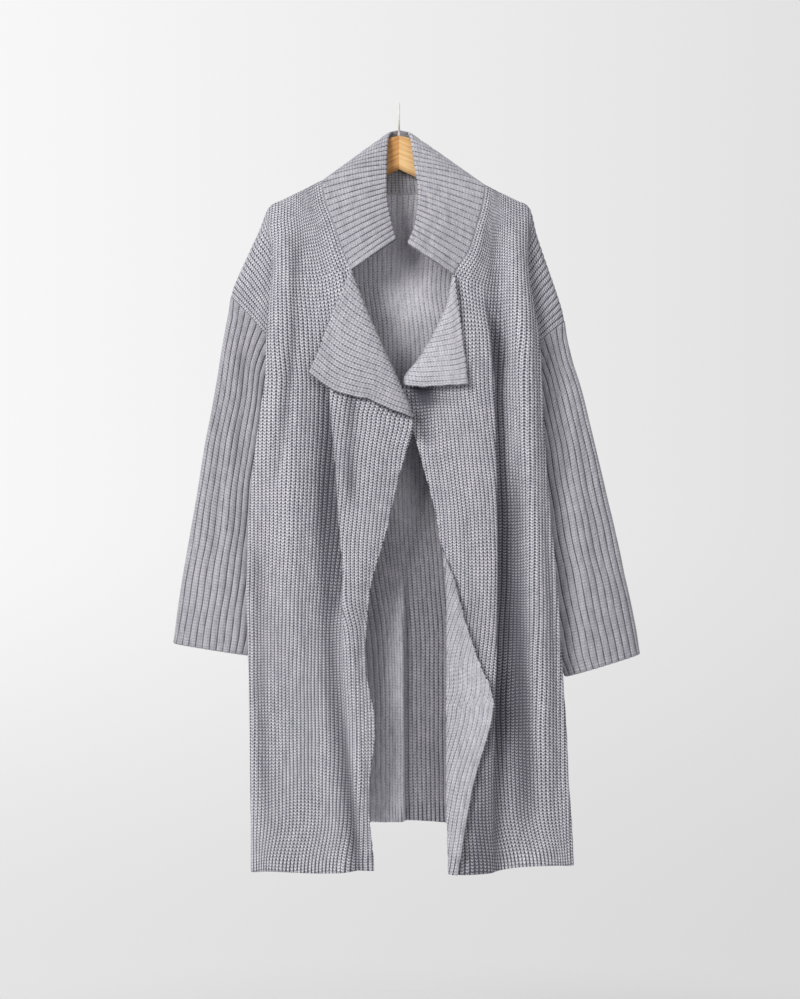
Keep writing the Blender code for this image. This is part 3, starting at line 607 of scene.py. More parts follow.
def face_normals(grid, present):
    """Unit normals at the points of a grid, from the cells that are cloth."""
    rows, columns = grid.shape[:2]
    i, j = np.nonzero(present)
    k = (j + 1) % columns
    face = np.cross(grid[i + 1, k] - grid[i, j], grid[i, k] - grid[i + 1, j])
    normals = np.zeros((rows * columns, 3))
    for corner in (i * columns + j, (i + 1) * columns + j, (i + 1) * columns + k, i * columns + k):
        np.add.at(normals, corner, face)
    return unit(normals).reshape(grid.shape)


def add_mesh(name, points, faces, *materials):
    """Put a smooth mesh, its points in metres, into the scene."""
    mesh = bpy.data.meshes.new(name)
    mesh.from_pydata(points, [], faces)
    mesh.update()
    mesh.polygons.foreach_set("use_smooth", np.ones(len(faces), bool))
    for material in materials:
        mesh.materials.append(material)
    thing = bpy.data.objects.new(name, mesh)
    bpy.context.scene.collection.objects.link(thing)
    return thing


def knit_wall(name, grid, outward, u, v, rises, rim, materials, plain=0.0, crease=0.0,
              painted_shade=0.0, missing=False):
    """The closed wall of knitting round a grid of middle points; it replaces the solid so named.

    grid is (rows, columns, 3), and missing tells which of its cells aren't cloth. u and v are the
    rib and course numbers at the points, with one more column than the grid where its last column
    joins the first. rises are how far the outer and the inner face stand beyond half the wall,
    crease moves the middle, and rim is how far the wall's rounded edge stands out. The yarn's
    colour carries painted shade in troughs and where the painted shade given is above 0, and
    painted light where it is below; that may be given for each face.
    """
    rows, columns = grid.shape[:2]
    wide = u.shape[1]
    present = ~(np.zeros((rows - 1, wide - 1), bool) | missing)
    u, v = (np.broadcast_to(a, (rows, wide)) for a in (u, v))
    crease = np.broadcast_to(crease, (rows, columns))
    grid = grid + outward * face_normals(grid, present) * crease[..., None]
    normals = outward * face_normals(grid, present)
    outer = grid + normals * (WALL / 2 + rises[0][..., None])
    inner = grid - normals * (WALL / 2 + rises[1][..., None])

    i, j = np.nonzero(present)
    k = (j + 1) % columns
    at = lambda row, column: row * columns + column
    ring = np.stack([at(i, j), at(i + 1, j), at(i + 1, k), at(i, k)], axis=1)
    ring_uv = np.stack(
        [np.stack([a[i, j], a[i + 1, j], a[i + 1, j + 1], a[i, j + 1]], axis=1) for a in (u, v)],
        axis=2,
    )

    # Outward way along the cloth at its edges: away from the middle of the cells beside a point.
    centre = grid.reshape(-1, 3)[ring].mean(axis=1)
    beside, count = np.zeros((rows * columns, 3)), np.zeros(rows * columns)
    for corner in ring.T:
        np.add.at(beside, corner, centre)
        np.add.at(count, corner, 1)
    away = grid.reshape(-1, 3) - beside / np.maximum(count, 1)[:, None]
    flat_normals = normals.reshape(-1, 3)
    away = unit(away - (away * flat_normals).sum(axis=1, keepdims=True) * flat_normals)
    lip = grid.reshape(-1, 3) + away * np.broadcast_to(rim, (rows, columns)).reshape(-1, 1)

    # Edges of the cloth, as the outer face goes round them: the edge from p to q.
    edges = []
    for axis in (0, 1) if wide == columns else (0,):
        pad = np.pad(present, ((1 - axis,) * 2, (axis,) * 2))
        before, after = pad[:len(pad) - 1 + axis, :pad.shape[1] - axis], pad[1 - axis:, axis:]
        for where, first in ((after & ~before, 1 - axis), (before & ~after, axis)):
            a, b = np.nonzero(where)
            ends = [(a + axis * end, b + (1 - axis) * end) for end in (first, 1 - first)]
            edges.append(np.stack([at(row, column % columns) for row, column in ends]
                                  + [value[end] for end in ends for value in (u, v)], axis=1))
    edges = np.concatenate(edges)
    if outward < 0:
        ring, ring_uv, edges = ring[:, ::-1], ring_uv[:, ::-1], edges[:, [1, 0, 4, 5, 2, 3]]
    p, q = edges[:, 0].astype(int), edges[:, 1].astype(int)
    total = rows * columns
    faces = np.concatenate([
        ring,
        ring[:, ::-1] + total,
        np.stack([q, p, p + 2 * total, q + 2 * total], axis=1),
        np.stack([q + 2 * total, p + 2 * total, p + total, q + total], axis=1),
    ])
    edge_uv = edges[:, [4, 5, 2, 3, 2, 3, 4, 5]].reshape(-1, 4, 2)
    uv = np.concatenate([ring_uv, ring_uv[:, ::-1], edge_uv, edge_uv])
    wrong_side = np.repeat([0, 1, 0, 0], [len(ring), len(ring), len(p), len(p)])

    points = np.concatenate([outer.reshape(-1, 3), inner.reshape(-1, 3), lip])
    used, index = np.unique(faces, return_inverse=True)
    piece = add_mesh(name, points[used] * MM, index.reshape(faces.shape), *materials)
    piece.data.polygons.foreach_set("material_index", wrong_side.astype(np.int32))
    piece.data.uv_layers.new(name="knit").data.foreach_set("uv", uv.ravel().astype(np.float32))
    # The hollow mark: painted shade that darkens the yarn in troughs, by their depth, and wherever
    # the painted shade given is above 0; painted light where that is below 0.
    outside, inside = np.clip(-crease / 12, 0, 1) + np.broadcast_to(painted_shade, (2, rows, columns))
    plain = np.broadcast_to(plain, (rows, columns))
    for key, faces_marks in (("plain", [plain] * 3), ("hollow", [outside, inside, outside])):
        values = np.stack(faces_marks).ravel()[used].astype(np.float32)
        piece.data.attributes.new(key, "FLOAT", "POINT").data.foreach_set("value", values)
    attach(piece, "root")
    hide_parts(name)
    return piece


# ---------------- materials

def put(tree, socket, value):
    """Give a socket of a node tree its value: a signal, which is linked, or a constant."""
    if isinstance(value, Signal):
        tree.links.new(value.socket, socket)
    else:
        socket.default_value = value


def add_node(tree, kind, inputs, output=0):
    """A new node with these values at its inputs, and the signal that leaves one output."""
    node = tree.nodes.new("ShaderNode" + kind)
    for key, value in inputs.items():
        put(tree, node.inputs[key], value)
    return node, Signal(tree, node.outputs[output])


class Signal:
    """A value that a node tree works out; adding, multiplying and the like put nodes into it."""

    def __init__(self, tree, socket):
        self.tree, self.socket = tree, socket

    def math(self, operation, other=0.0):
        node, result = add_node(self.tree, "Math", {0: self, 1: other})
        node.operation = operation
        return result

    def __add__(self, other):
        return self.math("ADD", other)

    def __mul__(self, other):
        return self.math("MULTIPLY", other)

    def __sub__(self, other):
        return self + other * -1.0

    def __rsub__(self, other):
        return self * -1.0 + other

    def from_whole(self):
        """How far it is from the nearest whole number."""
        return self.math("PINGPONG", 0.5)

    def ramp(self, low, high, start=0.0, stop=1.0):
        """start below low, stop above high, and an eased change between."""
        node, result = add_node(self.tree, "MapRange", {
            "Value": self, "From Min": low, "From Max": high, "To Min": start, "To Max": stop,
        }, "Result")
        node.interpolation_type = "SMOOTHSTEP"
        return result

    def split(self):
        """Its three components."""
        node, _ = add_node(self.tree, "SeparateXYZ", {0: self})
        return [Signal(self.tree, output) for output in node.outputs]


class Shader:
    """A Principled material and short ways of writing its node tree."""

    def __init__(self, name, roughness, sheen=0.0, specular=0.5):
        self.material = bpy.data.materials.new(name)
        self.material.use_nodes = True
        self.tree = self.material.node_tree
        self.surface = self.tree.nodes["Principled BSDF"]
        self.surface.inputs["Roughness"].default_value = roughness
        self.surface.inputs["Specular IOR Level"].default_value = specular
        self.surface.inputs["Sheen Weight"].default_value = sheen
        self.surface.inputs["Sheen Roughness"].default_value = 0.45

    def mix(self, share, first, second):
        node, result = add_node(self.tree, "Mix", {0: share, 6: first, 7: second}, 2)
        node.data_type = "RGBA"
        return result

    def place(self, upward=1.0):
        """Object coordinates, with the height made this much smaller."""
        _, place = add_node(self.tree, "TexCoord", {}, "Object")
        scale = (1.0, 1.0, upward)
        return add_node(self.tree, "Mapping", {"Vector": place, "Scale": scale}, "Vector")[1]

    def noise(self, place, scale, detail=2.0, rough=0.5):
        inputs = {"Vector": place, "Scale": scale, "Detail": detail, "Roughness": rough}
        return add_node(self.tree, "TexNoise", inputs, "Fac")[1]

    def stitches(self):
        """Rib and course number of the knitting, how plain it is, and how deep in a trough as
        painted shade, with painted light where that is below 0.
        """
        node, numbers = add_node(self.tree, "UVMap", {}, "UV")
        node.uv_map = "knit"
        node, plain = add_node(self.tree, "Attribute", {}, "Fac")
        node.attribute_name = "plain"
        node, hollow = add_node(self.tree, "Attribute", {}, "Fac")
        node.attribute_name = "hollow"
        return *numbers.split()[:2], plain, hollow

    def bump(self, height, distance, strength):
        inputs = {"Strength": strength, "Distance": distance * MM, "Height": height}
        _, normal = add_node(self.tree, "Bump", inputs, "Normal")
        put(self.tree, self.surface.inputs["Normal"], normal)

    def colour(self, value):
        put(self.tree, self.surface.inputs["Base Color"], value)


YARN_LIGHT = (0.800, 0.790, 0.850)
YARN_DARK = (0.400, 0.390, 0.440)
YARN_WARM = (0.705, 0.660, 0.690)
# The dark that painted shade mixes the yarn's colour towards: in grooves, holes, between stitch
# legs and in troughs.
GROOVE_SHADE = (0.060, 0.058, 0.080, 1.0)


def yarn_colour(shader, lightness):
    """Grey yarn of light and dark fibres, in places a little warmer."""
    fibre = shader.noise(shader.place(), 780.0, 4.0, 0.7)
    cloud = shader.noise(shader.place(0.25), 14.0)
    streak = shader.noise(shader.place(0.22), 190.0, 3.0, 0.6)
    shade = fibre * 0.6 + (cloud * 0.15 + streak * 0.25)
    dark, light, warm = (tuple(lightness * c for c in tone) + (1.0,)
                         for tone in (YARN_DARK, YARN_LIGHT, YARN_WARM))
    yarn = shader.mix(shade.ramp(0.36, 0.62), dark, light)
    return fibre, shader.mix(streak.ramp(0.54, 0.74, 0.0, 0.6), yarn, warm)


def knit_material(name, wales, groove, line, dots, middle, legs, lightness):
    """Knitting read from its own rib and course numbers.

    The distance to the nearest groove darkens the cloth with painted shade by line inside groove,
    unevenly. Dots are painted shade in the small holes in the grooves, one a course, and those down
    the middle of each rib lie half a course from them. The legs of the stitches lean up and out of
    the middle of each wale, from hole to hole, with painted shade between them.
    """
    shader = Shader(name, roughness=0.92, sheen=0.12, specular=0.2)
    rib, course, plain, hollow = shader.stitches()
    course = course + (shader.noise(shader.place(), 60.0) - 0.5) * 0.5
    uneven = shader.noise(shader.place(0.5), 130.0, 3.0).ramp(0.32, 0.6, 0.45, 1.0)
    from_groove = rib.from_whole()
    in_groove = from_groove.ramp(groove * 0.3, groove, 1.0, 0.0) * uneven
    in_middle = from_groove.ramp(0.40, 0.49)
    knitted = 1.0 - plain * 0.8
    hole = course.from_whole().ramp(0.12, 0.36) * (in_groove * knitted)
    half_course = (course + 0.5).from_whole().ramp(0.1, 0.4)
    middle_hole = (half_course * 0.65 + 0.35) * (in_middle * knitted)
    wale = (rib * wales).from_whole()
    leg = (course + 0.5 - wale).from_whole().ramp(0.05, 0.42) * wale.ramp(0.02, 0.2)
    fibre, yarn = yarn_colour(shader, lightness)
    deep = in_groove * (plain * 0.5 + line) + hole * dots + middle_hole * middle
    # hollow adds painted shade in troughs and creases, and painted light where it is below 0.
    deep = (deep + (1.0 - leg) * legs + hollow * 0.4).math("MINIMUM", 0.94).math("MAXIMUM", 0.0)
    shader.colour(shader.mix(deep, yarn, GROOVE_SHADE))
    shader.bump(leg * 0.6 - hole * 0.9 + fibre * 0.35 - in_groove * 0.3, 1.0, 0.7)
    return shader.material


def seam_material():
    """The yarn that links the pieces, a little darker than theirs."""
    shader = Shader("linking_yarn", roughness=0.92, sheen=0.12, specular=0.25)
    fibre, yarn = yarn_colour(shader, 0.75)
    shader.colour(yarn)
    shader.bump(fibre, 0.4, 0.5)
    return shader.material


def wood_material():
    """Varnished light wood; painted shade on the arm at -X, painted light on the arm at +X."""
    shader = Shader("hanger_wood_grain", roughness=0.38, specular=0.45)
    shader.surface.inputs["Coat Weight"].default_value = 0.25
    shader.surface.inputs["Coat Roughness"].default_value = 0.2
    x, y, z = shader.place().split()
    slope = z + x.math("ABSOLUTE") * 0.42
    _, place = add_node(shader.tree, "CombineXYZ", {0: x * 9.0, 1: y * 60.0, 2: slope * 210.0})
    grain = shader.noise(place, 1.0, 5.0, 0.62)
    streak = shader.noise(place, 4.0, 3.0, 0.7)
    grain = (grain * 0.7 + streak * 0.3).ramp(0.36, 0.64)
    # The darker pair of colours is painted shade on the arm at -X, the lighter pair painted light
    # on the arm at +X; within each pair is the grain.
    dark = shader.mix(grain, (0.52, 0.22, 0.065, 1.0), (0.86, 0.45, 0.14, 1.0))
    light = shader.mix(grain, (0.78, 0.42, 0.160, 1.0), (1.0, 0.68, 0.32, 1.0))
    shader.colour(shader.mix(x.ramp(-0.0006, 0.0006), dark, light))
    shader.bump(grain, 0.15, 0.3)
    return shader.material


def wire_material():
    """Thin pale painted wire, a little uneven."""
    shader = Shader("hook_wire_paint", roughness=0.4)
    tone = shader.noise(shader.place(), 260.0, 3.0).ramp(0.3, 0.7)
    shader.colour(shader.mix(tone, (0.84, 0.82, 0.78, 1.0), (0.94, 0.93, 0.90, 1.0)))
    shader.bump(tone, 0.05, 0.2)
    return shader.material


# ---------------- the pieces

def border_at(down):
    """1 on the plain border at the hem, faded out above it."""
    return ease((down - (down[-1] - BORDER)) / BORDER_FADE)


def build_front(side):
    """One front panel with its turned-back top corner."""
    columns = FRONTS[side]
    at, length = even_rows(lambda at: front_stations(at, side)[:, FOLD] * [0, 1, 1],
                           [0, NOTCH_ROW, LAPEL_END_ROW, LAST_ROW], FRONT_ROWS)
    row, down = at[:, None], length[:, None]
    u = rib_columns(BODY_RIBS, BODY_PHASES)
    curve, along = curve_through(front_stations(at, side))
    to_edge, to_under, to_fold, full = (along[:, k * FINE, None] for k in (EDGE, UNDER, FOLD, END))
    turned = turned_at(at, side)[:, None]
    start = to_edge * (1 - ease(turned / 9))
    roll = TOP_RIBS * (1 - between(row, NOTCH_ROW, LAPEL_END_ROW) ** 1.3)
    on_lapel = start + (to_edge - start) * u / np.maximum(roll, 1e-6)

    # The ribs hang straight down from the shoulder and cross the side fold where it bends outwards.
    # What they don't fill is taken up beside the edge, and below the lapel they run off that edge.
    first = np.where(row >= LAPEL_END_ROW, start, to_edge)
    fold_x = smooth(columns["fold_x"], at)
    fold_rib = FOLD_RIB + calmed(fold_x - fold_x[0], FOLD_REACH)[:, None] / RIB_PITCH
    even = (to_fold - first) / (fold_rib - roll)
    even = calmed(0.5 * even[:, 0] + 0.5 * RIB_PITCH, PITCH_REACH)[:, None]
    left_over = to_fold - first - even * (fold_rib - roll)
    gathered = left_over * (1 - ease((u - roll) / GATHERED_RIBS))
    beyond = to_fold + (full - to_fold) * (u - fold_rib) / (BODY_RIBS - fold_rib)
    on_body = np.where(u < fold_rib, to_fold - even * (fold_rib - u) - gathered, beyond)
    run_off = np.where(u < fold_rib, gathered / even * ease(row - LAPEL_END_ROW), 0.0)
    rib = np.where(u < roll, u * LAPEL_CLOSER, u - run_off)
    wanted = np.where(u < roll, on_lapel, on_body)
    pitch = np.gradient(wanted, axis=1) / np.gradient(u)
    wanted = wanted + wander(u, down, BODY_RIBS) * pitch * ease(np.abs(u - roll) / 2)
    near_hem = ease(1 - (down[-1] - down) / HEM_REACH)
    wanted = wanted + HEM_LEAN * near_hem**1.5 * clear_of(wanted, to_edge, to_fold, 45)
    grid = points_at(curve, along, wanted)
    grid[..., 2] += HEM_WAVE * near_hem * np.sin(u / 5.2 + 1)
    inside = clear_of(wanted, to_edge + SOFT_MARGIN, to_fold - SOFT_MARGIN, 15)
    grid = softened(grid, ease((SOFT_BELOW - grid[..., 2]) / 130) * inside)
    x, _, z = grid.transpose(2, 0, 1)

    # The ribs run straight across the lower turned-out cloth and meet its edge at a slant.
    lower = (row > LAPEL_END_ROW) & (wanted < to_edge) & (turned > 4)
    widest = LAPEL_END_ROW + 1 + np.argmax(columns["turned"][LAPEL_END_ROW + 1:])
    above = np.maximum(np.interp(widest, at, length) - down, 0)
    rib = np.where(lower, (wanted - start + SLANT * above) / TURNED_PITCH, rib)
    spacing = np.where(row > LAPEL_END_ROW, even, pitch)
    profile = rib_profile(rib, BODY_SHOULDER) * np.clip(spacing / 4, 0.2, 1)
    fade = ease(u / 1.2) * ease(BODY_RIBS - u)
    border = border_at(down)
    outer = (RIB_RISE * profile - RIB_SINK) * fade * (1 - 0.25 * border)
    inner = np.where(lower, TURNED_RISE, INNER_RISE) * profile * fade - INNER_SINK
    fluted = np.where(turned > 4, 1.3, 0.4) * (u < 0.1) * flutter(down, 3.6, 1.7, 21)
    rim = EDGE_RIM + 0.35 * rib_profile(u, 1) + 0.3 * np.sin(down / 1.9) + fluted

    crease, shade = creases(FRONT_CREASES[side], x, z) * clear_of(wanted, to_edge, to_fold, 14)
    beside = wanted - to_under
    overlap = between(smooth(columns["overlap"], at), 0, 8)[:, None] * ease((z + 1020) / 150)
    pleat = overlap * ease(beside / 10) * bell(beside, PLEAT_PLACE, PLEAT_WIDTH)
    curl = np.exp(-u / 2.2) * (row > NOTCH_ROW) * flutter(down, 5.3, 1.4, 17)
    crease = crease - PLEAT_DEPTH * pleat + EDGE_CURL * curl
    # Painted light on the lower turned-out cloth, less of it lower down and towards its roll, and
    # the lapels' painted shade and painted light.
    painted_flap_light = (FLAP_LIGHT + 0.25 * ease((-830 - z) / 150)) * ease((to_edge - wanted) / 50)
    shade = shade + np.where(lower, painted_flap_light, (u < roll) * LAPEL_SHADE[side])
    cut_away = (row[:-1] < NOTCH_ROW) & (u[:-1] < TOP_RIBS)
    return knit_wall(f"front_panel_{NAMES[side]}", grid, side, rib, course_number(down, u),
                     (outer, inner), rim, (body_knit, body_wrong), border, crease, shade, cut_away)


def back_crease(x, z):
    """The crease low in the back: a long rise towards the front, and a steep fall beyond it.

    It is given as two parts, the rise and the hollow beside it, each from 0 to 1.
    """
    grown = ease((BACK_CREASE_TOP - z) / (BACK_CREASE_TOP - BACK_CREASE_LOW))
    rise = ease((x + 60) / (BACK_CREASE_X + 40)) ** 1.2
    fallen = ease((x - BACK_CREASE_X) / 8)
    hollow = fallen * ease((110 - x) / 50)
    return grown * np.where(x < BACK_CREASE_X, rise, 1 - fallen), grown * hollow


def build_back():
    """The back panel, from side seam to side seam."""
    at, length = even_rows(lambda at: back_stations(at)[:, MIDDLE_STATION] * [0, 1, 1],
                           [0, YOKE_ROW, LAST_ROW], BACK_ROWS)
    down = length[:, None]
    u = rib_columns(BACK_RIBS, BODY_PHASES)
    curve, along = curve_through(back_stations(at))
    wanted = along[:, -1:] / BACK_RIBS * (u + wander(u, down, BACK_RIBS))
    x, _, z = points_at(curve, along, wanted).transpose(2, 0, 1)
    gathered = ease((z + 560) / -200) * bell(x, -26, 30) * ease((BACK_CREASE_X - x) / 25)
    grid = points_at(curve, along, wanted + BACK_GATHER * gathered)
    near_middle = ease((BACK_SOFT_TO - np.abs(grid[..., 0])) / 20)
    grid = softened(grid, near_middle * ease((at - 1) / 3)[:, None])
    grid[0, :, 1] = np.maximum(grid[0, :, 1], SEAM_GAP / 2)
    x, y, z = grid.transpose(2, 0, 1)
    rise, hollow = back_crease(x, z)
    y -= BACK_CREASE_RISE * rise - BACK_CREASE_HOLLOW * hollow

    profile = rib_profile(u, BODY_SHOULDER) + 0 * down
    fade = ease(u) * ease(BACK_RIBS - u)
    rises = (RIB_RISE * profile - RIB_SINK) * fade, (BACK_INNER_RISE * profile - INNER_SINK) * fade
    crease, outside = creases(CREASES_BACK, x, z)
    # On the inner face: painted shade in the hollow beside the crease, painted light on its rise
    # and high up inside the back, and the painted light of LIT_INSIDE.
    inside = outside + 0.6 * hollow - 0.45 * rise - 0.4 * ease((z + 480) / 100)
    inside = inside + creases(LIT_INSIDE, x, z)[1]
    return knit_wall("back_panel", grid, -1, u[None], course_number(down, u), rises,
                     EDGE_RIM + 0.35 * rib_profile(u, 1), (body_knit, back_wrong), border_at(down),
                     crease, (outside, inside))


def armhole(side):
    """The closed line of the armhole: down the front panel's end and up the back panel's end."""
    at = np.linspace(0, UNDERARM_ROW, 33)
    half = SLEEVE_RIBS // 2
    share = rib_columns(half, SLEEVE_PHASES)[:-1] / half
    halves = []
    back_end = 0 if side == RIGHT else -1
    for line in (front_stations(at, side)[:, END], back_stations(at)[::-1, back_end]):
        curve, along = curve_through(line[None])
        halves.append(points_at(curve, along, share[None] * along[0, -1])[0])
    return np.concatenate(halves)


def even_ring(half_width, half_depth, share):
    """Places (across, forward) evenly round a flat oval, from its outer end by the front."""
    turn = np.linspace(0, 2 * np.pi, 721)
    oval = np.stack([np.cos(turn), np.sign(np.sin(turn)) * np.abs(np.sin(turn)) ** 0.8], axis=1)
    along = down_the_cloth(oval * np.array([half_width, half_depth]).T)
    return read_along(oval, along, share * along[-1])


def build_sleeve(side):
    """A sleeve from the armhole to the open cuff, a flattened tube of broad ribs."""
    u = rib_columns(SLEEVE_RIBS, SLEEVE_PHASES)
    rings = SLEEVES[side]
    middle = np.stack([rings["inner_" + k] + rings["outer_" + k] for k in "xz"], axis=1) / 2
    at, length = even_rows(lambda at: smooth(middle, at), [0, len(middle) - 1], SLEEVE_ROWS)
    ring = {key: value[:, None] for key, value in rows_at(rings, at).items()}
    down, rib = length[:, None], u[:-1]
    sway = 0.1 * np.sin(down / 41 + 1.7 * np.sin(rib / 4.1) + side)
    sway = (sway + 0.06 * np.sin(down / 15.3 + rib / 1.9)) * ease(down / 30)
    share = ((rib + sway) / SLEEVE_RIBS) % 1.0
    wide, high = (ring["outer_" + k] - ring["inner_" + k] for k in "xz")
    places = [even_ring(*one) for one in zip(np.hypot(wide, high) / 2, ring["half_y"], share)]
    across, forward = np.array(places).transpose(2, 0, 1)
    outwards = (1 + across) / 2
    grid = np.stack([side * (ring["inner_x"] + wide * outwards),
                     ring["mid_y"] - ring["half_y"] * forward,
                     ring["inner_z"] + high * outwards], axis=2)

    hole = armhole(side)
    below = (1 - np.cos(2 * np.pi * rib / SLEEVE_RIBS)) / 2
    hole = hole + unit(grid[0] - hole) * (SLEEVE_GAP + UNDERARM_GAP * below**6)[:, None]
    steps = np.linspace(0, 1, CAP_ROWS + 1)[:-1, None]
    grid = np.concatenate([hole + (grid[0] - hole) * steps[..., None], grid])
    down = np.concatenate([CAP_LENGTH * (steps - 1), down])

    spacing = np.linalg.norm(np.roll(grid, -1, axis=1) - np.roll(grid, 1, axis=1), axis=2)
    profile = rib_profile(rib, SLEEVE_SHOULDER) * np.clip(spacing / 2.5, 0.3, 1)
    lip = ease((down - (down[-1] - 6)) / 4)
    outer = (SLEEVE_RISE * profile - SLEEVE_SINK) * (1 - 0.45 * lip) + 0.9 * lip
    x, y, z = grid.transpose(2, 0, 1)
    crease, shade = creases(SLEEVE_CREASES[side], x, z) * np.where(y < -4, 1.0, 0.4)
    return knit_wall(f"sleeve_{NAMES[side]}", grid, -side, u[None], down / COURSE,
                     (outer, INNER_RISE * profile - INNER_SINK), 1.3 + 0.5 * rib_profile(rib, 1),
                     (sleeve_knit, sleeve_wrong), 0.0, crease, shade)


def neck_line(points, first, last):
    """A line through points round the neck, read at the places of the collar's ribs.

    first and last are the numbers of the points at the two shoulder corners.
    """
    curve, along = curve_through(points[None])
    stops = along[0, [0, first * FINE, last * FINE, -1]]
    cells = len(COLLAR_PHASES)
    even = np.concatenate([
        np.linspace(start, stop, ribs * cells + 1)[:-1] for start, stop, ribs in
        zip(stops[:-1], stops[1:], (COLLAR_FRONT_RIBS, COLLAR_BACK_RIBS, COLLAR_FRONT_RIBS))
    ])
    line = points_at(curve, along, np.append(even, stops[-1])[None])[0]
    return read_along(line, np.arange(len(line)), rib_columns(COLLAR_RIBS, COLLAR_PHASES) * cells)


def neckline():
    """The line that the collar is sewn to, from the right notch round the back to the left."""
    at = np.linspace(0, NOTCH_ROW, 25)
    right = front_stations(at, RIGHT)[::-1, EDGE]
    left = front_stations(at, LEFT)[:, EDGE]
    nape = back_stations(np.array([0.0]))[0, NAPE_STATIONS]
    line = np.concatenate([right, nape, left])
    return neck_line(line, len(right) - 1, len(right) + len(nape))


def build_collar():
    """The ribbed band that stands round the neck, leaning in to the hook.

    Its ribs are crowded along the free edge and spread along the front of the neck, so they fan
    out: each one starts at its own place on the seam and ends at another on the edge.
    """
    edge_line = neck_line(np.stack(list(table(COLLAR_EDGE).values()), axis=1), 5, 9)
    last, corner = COLLAR_RIBS, COLLAR_RIBS - COLLAR_FRONT_RIBS
    u = rib_columns(last, COLLAR_PHASES)
    across = np.linspace(0, 1, COLLAR_ROWS + 1)[:, None]
    at_seam = np.interp(u, (0, CORNER_RIB, last / 2, last - CORNER_RIB, last),
                        (0, COLLAR_FRONT_RIBS, last / 2, corner, last))
    place = at_seam + (u - at_seam) * across
    seam, edge = (read_along(line, u, place) for line in (neckline(), edge_line))
    width = np.linalg.norm(edge - seam, axis=2)
    from_ridge = np.minimum(place - COLLAR_FRONT_RIBS, corner - place) / 4.5
    lean = np.sign(from_ridge) * ease(np.abs(from_ridge)) * np.where(from_ridge > 0, BACK_LEAN, 1.0)
    start = (COLLAR_GAP + COLLAR_CORNER_GAP * bell(from_ridge, 0.8, 1)) / width
    grid = seam + (edge - seam) * (start + (1 - start) * across)[..., None]
    grid[..., 1] += np.sin(np.pi * across) * COLLAR_BULGE * lean

    spacing = np.linalg.norm(np.gradient(grid, axis=1), axis=2) / np.gradient(u)
    full_rib = np.clip(spacing / 6, 0.12, 1)
    fade = 0.3 + 0.7 * ease(across / 0.75)
    profile = rib_profile(u, COLLAR_SHOULDER) * full_rib
    outer = (COLLAR_RISE * profile - COLLAR_SINK) * fade
    inner = (COLLAR_INNER_RISE * profile - COLLAR_INNER_SINK) * fade
    rim = 1.0 + 0.9 * rib_profile(u, 0.8) * full_rib * ease((across - 0.5) * 4)
    # Painted light on the wearer's left part of the collar, and a little painted shade on the rest.
    return knit_wall("collar", grid, 1, u[None], across * np.median(width) / COURSE,
                     (outer, inner), rim, (collar_knit, collar_knit),
                     painted_shade=0.1 - 0.5 * ease((u / last - 0.5) * 6))


def linked_seam(name, line, radius, at_nape=0.0):
    """A chain of linking stitches along a seam: a round cord whose thickness beats once a stitch.

    It is thicker by at_nape in the middle of its length.
    """
    length = down_the_cloth(line)
    steps = np.arange(0, length[-1], SEAM_STEP)
    path = read_along(line, length, steps)
    along = unit(np.gradient(path, axis=0))
    side = unit(np.cross(along, [0.31, 0.83, 0.47]))
    share = 4 * np.abs(steps / length[-1] - 0.5)
    beat = 1 + 0.22 * np.cos(2 * np.pi * steps / COURSE)
    beat *= radius + at_nape * ease(1.8 - 1.5 * share)
    beat *= np.clip(np.minimum(steps, steps[-1] - steps) / 2.5, 0.15, 1)
    turn = 2 * np.pi * np.arange(SEAM_SIDES)[:, None] / SEAM_SIDES
    ring = np.cos(turn) * side[:, None] + np.sin(turn) * np.cross(side, along)[:, None]
    points = (path[:, None] + beat[:, None, None] * ring).reshape(-1, 3)
    number = np.arange(len(points)).reshape(-1, SEAM_SIDES)
    after = np.roll(number, -1, axis=1)
    faces = np.stack([number[:-1], after[:-1], after[1:], number[1:]], axis=2).reshape(-1, 4)
    ends = [[b, a, len(points)] for a, b in zip(number[0], after[0])]
    ends += [[a, b, len(points) + 1] for a, b in zip(number[-1], after[-1])]
    points = np.concatenate([points, path[[0, -1]]])
    seam = add_mesh(name, points * MM, faces.tolist() + ends, seam_yarn)
    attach(seam, "root")
    return seam


def build_seams():
    """The linking along neck, armholes, shoulders and sides, sunk between the pieces it joins."""
    seams = {"neck_seam": linked_seam("neck_seam", neckline(), NECK_RADIUS, NAPE_THICKER)}
    for side, name in NAMES.items():
        stations = front_stations(np.linspace(0, LAST_ROW, 120), side)
        hole = armhole(side)
        lines = {
            "armhole_seam": np.concatenate([hole, hole[:1]]),
            "shoulder_seam": curve_through(stations[:1, EDGE + 1:])[0][0, ::4],
            "side_seam": stations[stations[:, END, 2] < stations[60, END, 2], END],
        }
        for kind, line in lines.items():
            seams[f"{kind}_{name}"] = linked_seam(f"{kind}_{name}", line, SEAM_RADIUS)
    return seams


# ---------------- the scene

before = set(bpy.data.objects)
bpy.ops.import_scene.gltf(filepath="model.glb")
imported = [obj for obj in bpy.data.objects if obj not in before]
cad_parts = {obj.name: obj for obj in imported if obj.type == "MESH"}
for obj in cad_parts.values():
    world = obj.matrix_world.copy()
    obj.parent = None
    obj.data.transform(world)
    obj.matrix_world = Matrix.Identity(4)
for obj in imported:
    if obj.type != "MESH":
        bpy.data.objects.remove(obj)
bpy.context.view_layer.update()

body_knit, body_wrong, back_wrong, sleeve_knit, sleeve_wrong, collar_knit = (
    knit_material(line.split()[0], *map(float, line.split()[1:]))
    for line in KNITTING.strip().splitlines()[1:]
)
seam_yarn = seam_material()

front_right, front_left = (build_front(side) for side in NAMES)
back = build_back()
sleeve_right, sleeve_left = (build_sleeve(side) for side in NAMES)
collar = build_collar()

